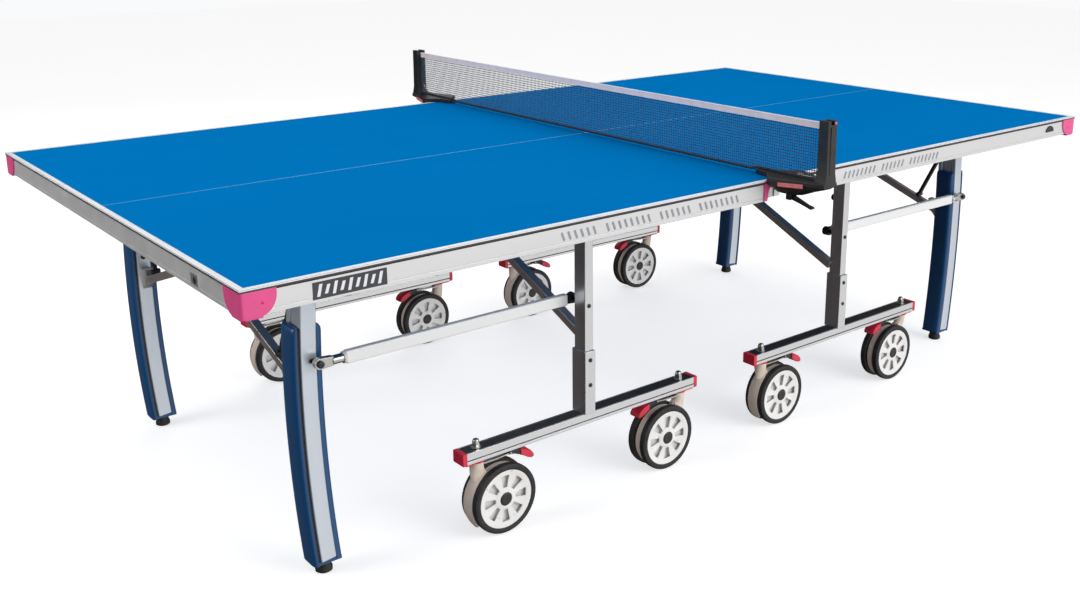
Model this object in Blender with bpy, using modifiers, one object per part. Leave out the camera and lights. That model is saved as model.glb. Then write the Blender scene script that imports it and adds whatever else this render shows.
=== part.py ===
"""Outdoor roll-away table-tennis table in two folding halves.

Each half is a castor carriage that carries a hinged top. The outer legs hang from the top on a
second hinge, and link bars between post and leg keep the legs upright while the top folds up.
X runs along the table, Y across it, Z is up, and the origin is on the floor under the net.
Half a is at -X and half b at +X. The near side is -Y and the far side is +Y.
"""

import math

import bmesh
import bpy
from mathutils import Matrix, Vector

# Overall table sizes, in metres.
TABLE_LENGTH = 2.740
TABLE_WIDTH = 1.525
TABLE_HEIGHT = 0.760
SEAM_GAP = 0.006
FIT_GAP = 0.0003

# Top: a thin panel on an apron of aluminium rails, with a shadow gap between them.
PANEL_THICKNESS = 0.0055
APRON_INSET = 0.003
APRON_TOP_Z = 0.7505
APRON_BOTTOM_Z = 0.7085
APRON_RAIL_WIDTH = 0.020
CROSS_RAIL_WIDTH = 0.040
CROSS_RAIL_Z = (0.7320, 0.7542)
CENTRE_RAIL_WIDTH = 0.024
CENTRE_RAIL_Z = (0.7330, 0.7530)
CAP_ALONG_SIDE = 0.068
CAP_ALONG_END = 0.072
CAP_DROP = 0.003
CAP_FLOOR = (0.0545, 0.0445)
CAP_SWEEP_RADIUS = 0.038
CAP_SWEEP_OFFSET = 0.012
SEAM_NOTCH_X = 0.050
SEAM_NOTCH_Z = 0.740

# Hinges. Both hinge lines are at one height, so post, top, leg and link make a parallelogram.
HINGE_Z = 0.695
POST_X = 0.467
LEG_HINGE_X = 1.125
LINK_Z = 0.497
LUG_RADIUS = 0.018
LUG_THICKNESS = 0.006
AXLE_RADIUS = 0.006
RUNNING_GAP = 0.0007
OPEN_PIVOT_GAP = 0.0015

# Carriage: T-bars along X, and posts joined by a beam and two long braces.
POST_Y = 0.579
POST_SIZE = (0.025, 0.040)
POST_BOTTOM_Z = 0.250
POST_TOP_Z = 0.7125
SLEEVE_SIZE = (0.031, 0.050)
SLEEVE_TOP_Z = 0.380
BAR_HALF_LENGTH = 0.352
BAR_WIDTH = 0.040
BAR_Z = (0.194, 0.222)
BEAM_OFFSET = 0.020
BEAM_Z = (0.640, 0.670)
BRACE_OFFSET = 0.012
BRACE_SIZE = 0.022
BRACE_FOOT = (0.565, 0.405)
BRACE_HEAD = (0.010, 0.658)

# Castors: twin wheels that trail behind the stem, with a pedal over the trailing side.
STEM_OFFSET = 0.312
TRAIL = 0.060
WHEEL_RADIUS = 0.0845
WHEEL_SIDES = 20
WHEEL_INNER_Y = 0.0115
WHEEL_OUTER_Y = 0.031
WHEEL_CHAMFER = 0.003
HOUSING_RADIUS = 0.078
HOUSING_HALF_WIDTH = 0.0100
HEAD_RADIUS = 0.017
HEAD_Z = (0.1660, 0.1885)
NECK_X = (-0.0150, 0.0300)
NECK_BOTTOM_Z = 0.115
STEM_RADIUS = 0.005
STEM_Z = (0.158, 0.243)
PEDAL_PIVOT = (0.085, 0.1868)
PEDAL_SIDE_VIEW = (
    (0.078, 0.1912),
    (0.094, 0.1912),
    (0.128, 0.1842),
    (0.149, 0.1680),
    (0.151, 0.1585),
    (0.143, 0.1565),
    (0.118, 0.1700),
    (0.094, 0.1805),
    (0.078, 0.1825),
)
PEDAL_SLOT_X = (0.060, 0.0925)
EAR_SIZE = (0.011, 0.010)
EAR_BOTTOM_Z = 0.140
SMALL_PIN_RADIUS = 0.0028
SMALL_HOLE_RADIUS = 0.0034
PEDAL_HALF_WIDTH = 0.017

# Legs: two rails and a web, bowed outward on a long arc, in a plastic cover.
LEG_Y = 0.4835
LEG_WIDTH = 0.065
LEG_ARC_RADIUS = 3.480
LEG_BULGE_X = 1.1374
LEG_BULGE_Z = 0.400
LEG_RAIL_HALF_DEPTH = 0.018
LEG_RAIL_WIDTH = 0.0155
LEG_BOTTOM_Z = 0.038
COVER_OUTER = 0.0335
COVER_INNER = 0.0190
COVER_WIDTH = 0.060
COVER_TOP_Z = 0.572
COVER_BOTTOM_Z = 0.031
ARC_STEPS = 6
HINGE_TUBE_RADIUS = 0.0125
LEG_LUG_Y = 0.300
LEG_BRACE_X = 1.1325
LEG_BRACE_SIZE = 0.020
LEG_BRACE_FOOT = (0.460, 0.427)
LEG_BRACE_HEAD = (0.004, 0.587)
LEG_CENTRE_POST_Z = (0.5765, 0.688)
FOOT_RADIUS = 0.019
FOOT_HEIGHT = 0.0265
FOOT_STEM_RADIUS = 0.005
FOOT_STEM_TOP_Z = 0.072

# Link bars between post and leg.
LINK_Y = 0.5375
LINK_WIDTH = 0.016
LINK_HALF_HEIGHT = 0.0125

# Net set.
NET_TOP_Z = 0.9125
NET_BOTTOM_Z = 0.766
NET_HALF_THICKNESS = 0.0015
NET_POST_Y = (0.8853, 0.9145)
NET_POST_HALF_WIDTH = 0.0165
NET_POST_TOP_Z = 0.920
CLAMP_Z = (0.7612, 0.7725)
CLAMP_TIP_Y = 0.690
CLAMP_HALF_WIDTH = 0.058
CLAMP_TIP_HALF_WIDTH = 0.014
CLAMP_NECK_HALF_WIDTH = 0.020
CLAMP_END_HALF_WIDTH = 0.024
SKIRT_Z = (0.751, 0.766)
SKIRT_HALF_WIDTH = 0.054
SKIRT_END_HALF_WIDTH = 0.020
SKIRT_STRAIGHT_DEPTH = 0.016
SKIRT_END_SETBACK = 0.045
KEEL_Z = (0.729, 0.753)
KEEL_HALF_WIDTH = 0.0185
KEEL_LENGTH = 0.0705
EDGE_CLEARANCE = 0.005
LEVER_PIVOT = (0.797, 0.7215)
LEVER_TIP = (0.864, 0.703)
LEVER_HALF_WIDTH = 0.006
LEVER_BOSS_RADIUS = 0.0058
LEVER_EAR_X = (0.0066, 0.0115)
LEVER_EAR_HALF = 0.008

HALVES = (("a", -1), ("b", 1))
SIDES = (("near", -1), ("far", 1))
PLACES = (("outer", 1), ("inner", -1))

# Name: base colour, roughness, metallic.
FINISHES = {
    "blue_surface": ((0.0, 0.18, 0.51), 0.45, 0.0),
    "silver_metal": ((0.62, 0.64, 0.66), 0.38, 1.0),
    "dark_metal": ((0.16, 0.15, 0.15), 0.42, 1.0),
    "pink_plastic": ((0.78, 0.07, 0.20), 0.40, 0.0),
    "red_plastic": ((0.70, 0.03, 0.07), 0.38, 0.0),
    "cream_plastic": ((0.62, 0.55, 0.47), 0.50, 0.0),
    "blue_plastic": ((0.01, 0.09, 0.27), 0.45, 0.0),
    "black_plastic": ((0.015, 0.015, 0.018), 0.45, 0.0),
    "tyre_rubber": ((0.02, 0.02, 0.023), 0.75, 0.0),
    "white_paint": ((0.83, 0.85, 0.86), 0.35, 0.0),
    "net_mesh": ((0.08, 0.11, 0.16), 0.80, 0.0),
}


def clear_scene():
    for item in list(bpy.data.objects):
        bpy.data.objects.remove(item, do_unlink=True)


def new_collection(name):
    collection = bpy.data.collections.new(name)
    bpy.context.scene.collection.children.link(collection)
    return collection


clear_scene()
TABLE = new_collection("table_tennis_table")
CUTTERS = new_collection("cutters")


def make_material(name):
    colour, roughness, metallic = FINISHES[name]
    material = bpy.data.materials.new(name)
    material.use_nodes = True
    shader = material.node_tree.nodes["Principled BSDF"]
    shader.inputs["Base Color"].default_value = (*colour, 1.0)
    shader.inputs["Roughness"].default_value = roughness
    shader.inputs["Metallic"].default_value = metallic
    return material


MATERIALS = {name: make_material(name) for name in FINISHES}


def add_mesh(name, mesh_data):
    mesh = bpy.data.meshes.new(name)
    mesh_data.to_mesh(mesh)
    mesh_data.free()
    piece = bpy.data.objects.new(name, mesh)
    CUTTERS.objects.link(piece)
    return piece


def box(name, low, high):
    """A box between two corners, given in any order."""
    first, second = Vector(low), Vector(high)
    size = second - first
    mesh_data = bmesh.new()
    scale = Matrix.Diagonal((abs(size.x), abs(size.y), abs(size.z), 1.0))
    bmesh.ops.create_cube(mesh_data, size=1.0, matrix=Matrix.Translation((first + second) / 2) @ scale)
    return add_mesh(name, mesh_data)


def rod(name, start, end, radius, sides=12):
    """A round bar between two points."""
    start, end = Vector(start), Vector(end)
    along = end - start
    turn = along.to_track_quat("Z", "Y").to_matrix().to_4x4()
    mesh_data = bmesh.new()
    bmesh.ops.create_cone(
        mesh_data,
        cap_ends=True,
        segments=sides,
        radius1=radius,
        radius2=radius,
        depth=along.length,
        matrix=Matrix.Translation((start + end) / 2) @ turn,
    )
    return add_mesh(name, mesh_data)


def square_bar(name, start, end, size):
    """A square bar between two points of one YZ plane."""
    start, end = Vector(start), Vector(end)
    along = end - start
    tilt = Matrix.Rotation(math.atan2(along.z, along.y), 4, "X")
    mesh_data = bmesh.new()
    scale = Matrix.Diagonal((size, along.length, size, 1.0))
    placed = Matrix.Translation((start + end) / 2) @ tilt @ scale
    bmesh.ops.create_cube(mesh_data, size=1.0, matrix=placed)
    return add_mesh(name, mesh_data)


def plate(name, outline, thickness, normal, centre):
    """A flat outline made thick. Its points are (x, z) for normal Y, (y, z) for X and (x, y) for Z."""
    curve = bpy.data.curves.new(name, "CURVE")
    curve.dimensions = "2D"
    curve.fill_mode = "BOTH"
    curve.extrude = thickness / 2
    spline = curve.splines.new("POLY")
    spline.points.add(len(outline) - 1)
    spline.use_cyclic_u = True
    for point, (first, second) in zip(spline.points, outline):
        point.co = (first, second, 0.0, 1.0)
    flat = bpy.data.objects.new(name, curve)
    CUTTERS.objects.link(flat)
    graph = bpy.context.evaluated_depsgraph_get()
    mesh = bpy.data.meshes.new_from_object(flat.evaluated_get(graph))
    bpy.data.objects.remove(flat, do_unlink=True)
    stand = {
        "Y": Matrix.Rotation(math.pi / 2, 4, "X"),
        "X": Matrix(((0, 0, 1, 0), (1, 0, 0, 0), (0, 1, 0, 0), (0, 0, 0, 1))),
        "Z": Matrix.Identity(4),
    }[normal]
    shift = Vector([centre if axis == normal else 0.0 for axis in "XYZ"])
    mesh_data = bmesh.new()
    mesh_data.from_mesh(mesh)
    bpy.data.meshes.remove(mesh)
    bmesh.ops.remove_doubles(mesh_data, verts=mesh_data.verts, dist=1e-6)
    bmesh.ops.transform(mesh_data, matrix=Matrix.Translation(shift) @ stand, verts=mesh_data.verts)
    bmesh.ops.recalc_face_normals(mesh_data, faces=mesh_data.faces)
    return add_mesh(name, mesh_data)


def turned(name, profile, sides, centre):
    """A profile of (radius, height) points turned about a line through centre, laid along Y."""
    mesh_data = bmesh.new()
    corners = [mesh_data.verts.new((radius, 0.0, height)) for radius, height in profile]
    for first, second in zip(corners, corners[1:]):
        mesh_data.edges.new((first, second))
    piece = add_mesh(name, mesh_data)
    screw = piece.modifiers.new("turn", "SCREW")
    screw.axis = "Z"
    screw.steps = sides
    screw.render_steps = sides
    screw.use_merge_vertices = True
    screw.merge_threshold = 0.00001
    half_facet = math.pi / sides
    piece.matrix_world = (
        Matrix.Translation(Vector(centre))
        @ Matrix.Rotation(math.pi / 2, 4, "X")
        @ Matrix.Rotation(half_facet, 4, "Z")
    )
    return piece


def hide(piece):
    piece.hide_render = True
    piece.display_type = "WIRE"


def combine(piece, others, operation):
    for other in others:
        boolean = piece.modifiers.new(operation.lower(), "BOOLEAN")
        boolean.operation = operation
        boolean.solver = "EXACT"
        boolean.object = other
        hide(other)


def join(piece, others):
    combine(piece, others, "UNION")


def cut(piece, others):
    combine(piece, others, "DIFFERENCE")


def finish(piece, finish_name, body, smooth=False):
    """Makes a piece a named part of the table, on the body that it moves with."""
    CUTTERS.objects.unlink(piece)
    TABLE.objects.link(piece)
    piece.data.materials.append(MATERIALS[finish_name])
    if smooth:
        piece.data.shade_smooth()
        piece.data.set_sharp_from_angle(angle=math.radians(35))
    if piece.location.length == 0.0:
        piece.data.transform(Matrix.Translation(-body["pivot"]))
        piece.location = body["pivot"]
    piece.parent = body["empty"]
    piece.location = piece.location - body["pivot"]
    return piece


def make_body(name, pivot, parent=None):
    """An empty on a joint's axis, which carries the pieces of one moving body."""
    empty = bpy.data.objects.new(name, None)
    empty.empty_display_size = 0.05
    TABLE.objects.link(empty)
    pivot = Vector(pivot)
    empty.location = pivot
    if parent:
        empty.parent = parent["empty"]
        empty.location = pivot - parent["pivot"]
    return {"empty": empty, "pivot": pivot}


def make_top(half, side, body):
    """The playing panel and, under it, the apron frame, notched by the net clamps, with its hinge lugs."""
    net_x = side * SEAM_GAP / 2
    end_x = side * TABLE_LENGTH / 2
    edge_y = TABLE_WIDTH / 2
    panel = box(
        f"top_panel_{half}",
        (net_x, -edge_y, TABLE_HEIGHT - PANEL_THICKNESS),
        (end_x, edge_y, TABLE_HEIGHT),
    )
    finish(panel, "blue_surface", body)

    outer_y = edge_y - APRON_INSET
    outer_x = end_x - side * APRON_INSET
    inner_y = outer_y - APRON_RAIL_WIDTH
    frame = box(f"apron_frame_{half}", (net_x, -outer_y, APRON_BOTTOM_Z), (outer_x, outer_y, APRON_TOP_Z))
    opening = box(
        f"apron_opening_{half}",
        (net_x + side * APRON_RAIL_WIDTH, -inner_y, APRON_BOTTOM_Z - 0.01),
        (outer_x - side * APRON_RAIL_WIDTH, inner_y, APRON_TOP_Z + 0.01),
    )
    notches = [
        box(
            f"seam_notch_{half}_{side_name}",
            (0.0, y_sign * inner_y, APRON_BOTTOM_Z - 0.01),
            (side * SEAM_NOTCH_X, y_sign * (outer_y + 0.01), SEAM_NOTCH_Z),
        )
        for side_name, y_sign in SIDES
    ]
    cut(frame, [opening, *notches])
    members = []
    rail_end_y = inner_y + APRON_RAIL_WIDTH / 2
    for place, hinge_x in (("post", POST_X), ("leg", LEG_HINGE_X)):
        centre_x = side * hinge_x
        low = (centre_x - CROSS_RAIL_WIDTH / 2, -rail_end_y, CROSS_RAIL_Z[0])
        high = (centre_x + CROSS_RAIL_WIDTH / 2, rail_end_y, CROSS_RAIL_Z[1])
        members.append(box(f"cross_rail_{place}_{half}", low, high))
    centre_start = net_x + side * APRON_RAIL_WIDTH / 2
    centre_end = outer_x - side * APRON_RAIL_WIDTH / 2
    members.append(
        box(
            f"centre_rail_{half}",
            (centre_start, -CENTRE_RAIL_WIDTH / 2, CENTRE_RAIL_Z[0]),
            (centre_end, CENTRE_RAIL_WIDTH / 2, CENTRE_RAIL_Z[1]),
        )
    )
    post_lug_ys = [POST_Y - POST_SIZE[1] / 2 - 0.006, POST_Y + POST_SIZE[1] / 2 + 0.006]
    lugs = [(POST_X, sign * y) for sign in (-1, 1) for y in post_lug_ys]
    lugs += [(LEG_HINGE_X, sign * LEG_LUG_Y) for sign in (-1, 1)]
    for number, (hinge_x, lug_y) in enumerate(lugs):
        members.append(hinge_lug(f"lug_{half}_{number}", side * hinge_x, lug_y))
    join(frame, members)
    holes = [
        rod(
            f"axle_hole_{half}",
            (side * POST_X, -0.65, HINGE_Z),
            (side * POST_X, 0.65, HINGE_Z),
            AXLE_RADIUS + RUNNING_GAP,
        ),
        rod(
            f"leg_tube_hole_{half}",
            (side * LEG_HINGE_X, -0.35, HINGE_Z),
            (side * LEG_HINGE_X, 0.35, HINGE_Z),
            HINGE_TUBE_RADIUS + RUNNING_GAP,
            sides=16,
        ),
    ]
    cut(frame, holes)
    finish(frame, "silver_metal", body)
    for side_name, y_sign in SIDES:
        make_corner_cap(f"corner_cap_{side_name}_{half}", side, y_sign, body)


def hinge_lug(name, centre_x, centre_y):
    """A plate that hangs from a cross rail and ends in a half circle about the hinge line."""
    arc = [
        (
            centre_x + (LUG_RADIUS + 0.004) * math.cos(math.pi + math.pi * step / 6),
            HINGE_Z + LUG_RADIUS * math.sin(math.pi + math.pi * step / 6),
        )
        for step in range(7)
    ]
    top_z = (CROSS_RAIL_Z[0] + CROSS_RAIL_Z[1]) / 2
    half_top = CROSS_RAIL_WIDTH / 2 - 0.004
    outline = arc + [(centre_x + half_top, top_z), (centre_x - half_top, top_z)]
    return plate(name, outline, LUG_THICKNESS, "Y", centre_y)


def make_corner_cap(name, side, y_sign, body):
    """An angle piece around the apron's outer corner, its lower ends swept up in a curve."""
    end_x, edge_y = TABLE_LENGTH / 2, TABLE_WIDTH / 2
    wall_x = end_x - APRON_INSET + FIT_GAP
    wall_y = edge_y - APRON_INSET + FIT_GAP
    outline = [
        (end_x, edge_y),
        (end_x - CAP_ALONG_SIDE, edge_y),
        (end_x - CAP_ALONG_SIDE, wall_y),
        (wall_x, wall_y),
        (wall_x, edge_y - CAP_ALONG_END),
        (end_x, edge_y - CAP_ALONG_END),
    ]
    outline = [(side * x, y_sign * y) for x, y in outline]
    top_z = TABLE_HEIGHT - PANEL_THICKNESS - FIT_GAP
    low_z = APRON_BOTTOM_Z - CAP_DROP
    cap = plate(name, outline, top_z - low_z, "Z", (top_z + low_z) / 2)
    floor = box(
        f"{name}_floor",
        (side * (end_x - CAP_FLOOR[0]), y_sign * (edge_y - CAP_FLOOR[1]), low_z - 0.0025),
        (side * (end_x - 0.0005), y_sign * (edge_y - 0.0005), APRON_BOTTOM_Z - FIT_GAP),
    )
    join(cap, [floor])
    sweep_z = low_z - CAP_SWEEP_OFFSET
    along_side = rod(
        f"{name}_sweep_side",
        (side * (end_x - CAP_ALONG_SIDE - CAP_SWEEP_OFFSET), y_sign * (edge_y + 0.01), sweep_z),
        (side * (end_x - CAP_ALONG_SIDE - CAP_SWEEP_OFFSET), y_sign * (edge_y - 0.01), sweep_z),
        CAP_SWEEP_RADIUS,
        sides=20,
    )
    along_end = rod(
        f"{name}_sweep_end",
        (side * (end_x + 0.01), y_sign * (edge_y - CAP_ALONG_END - CAP_SWEEP_OFFSET), sweep_z),
        (side * (end_x - 0.01), y_sign * (edge_y - CAP_ALONG_END - CAP_SWEEP_OFFSET), sweep_z),
        CAP_SWEEP_RADIUS,
        sides=20,
    )
    cut(cap, [along_side, along_end])
    finish(cap, "pink_plastic", body)


def make_carriage(half, side, body):
    """Two T-bases and the post frame that stands in their sleeves, with the fold axle."""
    for side_name, y_sign in SIDES:
        make_t_base(f"t_base_{side_name}_{half}", side, y_sign, body)
    post_x = side * POST_X
    posts = [
        box(
            f"post_frame_{half}" if y_sign < 0 else f"post_far_{half}",
            (post_x - POST_SIZE[0] / 2, y_sign * POST_Y - POST_SIZE[1] / 2, POST_BOTTOM_Z),
            (post_x + POST_SIZE[0] / 2, y_sign * POST_Y + POST_SIZE[1] / 2, POST_TOP_Z),
        )
        for _, y_sign in SIDES
    ]
    beam_x = side * (POST_X - BEAM_OFFSET)
    beam_end = POST_Y - 0.004
    beam = box(
        f"post_beam_{half}",
        (beam_x - POST_SIZE[0] / 2, -beam_end, BEAM_Z[0]),
        (beam_x + POST_SIZE[0] / 2, beam_end, BEAM_Z[1]),
    )
    brace_x = side * (POST_X - BRACE_OFFSET)
    braces = [
        square_bar(
            f"post_brace_{half}_{side_name}",
            (brace_x, y_sign * BRACE_FOOT[0], BRACE_FOOT[1]),
            (brace_x, -y_sign * BRACE_HEAD[0], BRACE_HEAD[1]),
            BRACE_SIZE,
        )
        for side_name, y_sign in SIDES
    ]
    pins = []
    for side_name, y_sign in SIDES:
        inside = y_sign * (LINK_Y - LINK_WIDTH / 2 - 0.007)
        pins.append(
            rod(
                f"link_pin_{side_name}_{half}",
                (post_x, y_sign * (POST_Y - 0.012), LINK_Z),
                (post_x, inside, LINK_Z),
                AXLE_RADIUS,
            )
        )
        pins.append(
            rod(
                f"link_pin_head_{side_name}_{half}",
                (post_x, inside + y_sign * 0.006, LINK_Z),
                (post_x, inside - y_sign * 0.001, LINK_Z),
                AXLE_RADIUS * 1.9,
            )
        )
    join(posts[0], [posts[1], beam, *braces, *pins])
    hole = rod(
        f"post_axle_hole_{half}",
        (post_x, -0.65, HINGE_Z),
        (post_x, 0.65, HINGE_Z),
        AXLE_RADIUS + RUNNING_GAP,
    )
    cut(posts[0], [hole])
    finish(posts[0], "silver_metal", body)

    axle_end = POST_Y + POST_SIZE[1] / 2 + 0.012
    axle = rod(f"fold_axle_{half}", (post_x, -axle_end, HINGE_Z), (post_x, axle_end, HINGE_Z), AXLE_RADIUS)
    heads = [
        rod(
            f"axle_head_{half}_{side_name}",
            (post_x, y_sign * (axle_end - 0.001), HINGE_Z),
            (post_x, y_sign * (axle_end + 0.004), HINGE_Z),
            AXLE_RADIUS * 1.7,
        )
        for side_name, y_sign in SIDES
    ]
    join(axle, heads)
    finish(axle, "dark_metal", body)


def make_t_base(name, side, y_sign, body):
    """A T-bar with the sleeve that takes a post, and the two castor stem bolts."""
    post_x, centre_y = side * POST_X, y_sign * POST_Y
    bar = box(
        name,
        (post_x - BAR_HALF_LENGTH, centre_y - BAR_WIDTH / 2, BAR_Z[0]),
        (post_x + BAR_HALF_LENGTH, centre_y + BAR_WIDTH / 2, BAR_Z[1]),
    )
    sleeve = box(
        f"{name}_sleeve",
        (post_x - SLEEVE_SIZE[0] / 2, centre_y - SLEEVE_SIZE[1] / 2, BAR_Z[1] - 0.010),
        (post_x + SLEEVE_SIZE[0] / 2, centre_y + SLEEVE_SIZE[1] / 2, SLEEVE_TOP_Z),
    )
    pocket_x, pocket_y = POST_SIZE[0] / 2 + FIT_GAP, POST_SIZE[1] / 2 + FIT_GAP
    pocket = box(
        f"{name}_pocket",
        (post_x - pocket_x, centre_y - pocket_y, POST_BOTTOM_Z - FIT_GAP),
        (post_x + pocket_x, centre_y + pocket_y, SLEEVE_TOP_Z + 0.02),
    )
    bolts = []
    for place, direction in PLACES:
        stem_x = post_x + side * direction * STEM_OFFSET
        bolts.append(
            rod(
                f"{name}_stem_{place}",
                (stem_x, centre_y, STEM_Z[0]),
                (stem_x, centre_y, STEM_Z[1]),
                STEM_RADIUS,
                12,
            )
        )
        bolts.append(
            rod(
                f"{name}_nut_{place}",
                (stem_x, centre_y, BAR_Z[1] - 0.002),
                (stem_x, centre_y, BAR_Z[1] + 0.010),
                STEM_RADIUS * 2,
                6,
            )
        )
    join(bar, [sleeve, *bolts])
    cut(bar, [pocket])
    finish(bar, "silver_metal", body)


def make_castor(label, stem_x, stem_y, toward_post, carriage):
    """One castor: a swivelling housing, a pair of wheels on an axle, and a brake pedal."""
    swivel = make_body(f"swivel_{label}", (stem_x, stem_y, HEAD_Z[0]), carriage)
    axle_x = stem_x + toward_post * TRAIL
    spin = make_body(f"spin_{label}", (axle_x, stem_y, WHEEL_RADIUS), swivel)
    pivot_x = stem_x + toward_post * PEDAL_PIVOT[0]
    tip = make_body(f"tip_{label}", (pivot_x, stem_y, PEDAL_PIVOT[1]), swivel)

    def across(x, z, half_width):
        return (x, stem_y - half_width, z), (x, stem_y + half_width, z)

    name = f"castor_housing_{label}"
    housing = rod(name, *across(axle_x, WHEEL_RADIUS, HOUSING_HALF_WIDTH), HOUSING_RADIUS, sides=20)
    head = rod(f"{name}_head", (stem_x, stem_y, HEAD_Z[0]), (stem_x, stem_y, HEAD_Z[1]), HEAD_RADIUS)
    neck = box(
        f"{name}_neck",
        (stem_x + toward_post * NECK_X[0], stem_y - HOUSING_HALF_WIDTH + 0.0005, NECK_BOTTOM_Z),
        (stem_x + toward_post * NECK_X[1], stem_y + HOUSING_HALF_WIDTH - 0.0005, HEAD_Z[0] + 0.006),
    )
    ear = box(
        f"{name}_ear",
        (pivot_x - EAR_SIZE[0] / 2, stem_y - EAR_SIZE[1] / 2, EAR_BOTTOM_Z),
        (pivot_x + EAR_SIZE[0] / 2, stem_y + EAR_SIZE[1] / 2, PEDAL_PIVOT[1] + 0.0035),
    )
    pin_ends = across(pivot_x, PEDAL_PIVOT[1], PEDAL_HALF_WIDTH - 0.002)
    pin = rod(f"{name}_pin", *pin_ends, SMALL_PIN_RADIUS, sides=10)
    join(housing, [head, neck, ear, pin])
    bore = rod(f"{name}_bore", *across(axle_x, WHEEL_RADIUS, 0.05), AXLE_RADIUS + RUNNING_GAP)
    stem_bore = rod(
        f"{name}_stem_bore",
        (stem_x, stem_y, STEM_Z[0] - 0.004),
        (stem_x, stem_y, HEAD_Z[1] + 0.01),
        STEM_RADIUS + RUNNING_GAP,
        sides=12,
    )
    cut(housing, [bore, stem_bore])
    finish(housing, "cream_plastic", swivel)

    rim = WHEEL_RADIUS / math.cos(math.pi / WHEEL_SIDES)
    tread = WHEEL_OUTER_Y - WHEEL_CHAMFER
    inside = WHEEL_INNER_Y + WHEEL_CHAMFER
    half_profile = [
        (0.0, WHEEL_OUTER_Y),
        (rim - WHEEL_CHAMFER, WHEEL_OUTER_Y),
        (rim, tread),
        (rim, inside),
        (rim - WHEEL_CHAMFER, WHEEL_INNER_Y),
        (AXLE_RADIUS, WHEEL_INNER_Y),
    ]
    profile = half_profile + [(radius, -height) for radius, height in reversed(half_profile)]
    wheels = turned(f"castor_wheels_{label}", profile, WHEEL_SIDES, (axle_x, stem_y, WHEEL_RADIUS))
    finish(wheels, "tyre_rubber", spin, smooth=True)

    pedal = plate(
        f"brake_pedal_{label}",
        [(stem_x + toward_post * along, z) for along, z in PEDAL_SIDE_VIEW],
        PEDAL_HALF_WIDTH * 2,
        "Y",
        stem_y,
    )
    slot = box(
        f"brake_pedal_{label}_slot",
        (stem_x + toward_post * PEDAL_SLOT_X[0], stem_y - EAR_SIZE[1] / 2 - 0.0008, 0.15),
        (stem_x + toward_post * PEDAL_SLOT_X[1], stem_y + EAR_SIZE[1] / 2 + 0.0008, 0.20),
    )
    pin_hole = rod(
        f"brake_pedal_{label}_hole",
        *across(pivot_x, PEDAL_PIVOT[1], 0.03),
        SMALL_HOLE_RADIUS,
        sides=10,
    )
    cut(pedal, [slot, pin_hole])
    finish(pedal, "red_plastic", tip)


def leg_point(offset, z):
    """A point on the leg's arc at height z, moved outward from the arc's centre by offset."""
    centre_x = LEG_BULGE_X - LEG_ARC_RADIUS
    turn = math.asin((z - LEG_BULGE_Z) / LEG_ARC_RADIUS)
    radius = LEG_ARC_RADIUS + offset
    return centre_x + radius * math.cos(turn), LEG_BULGE_Z + radius * math.sin(turn)


def leg_arc(offset, low_z, high_z):
    steps = [low_z + (high_z - low_z) * step / ARC_STEPS for step in range(ARC_STEPS + 1)]
    return [leg_point(offset, z) for z in steps]


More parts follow.
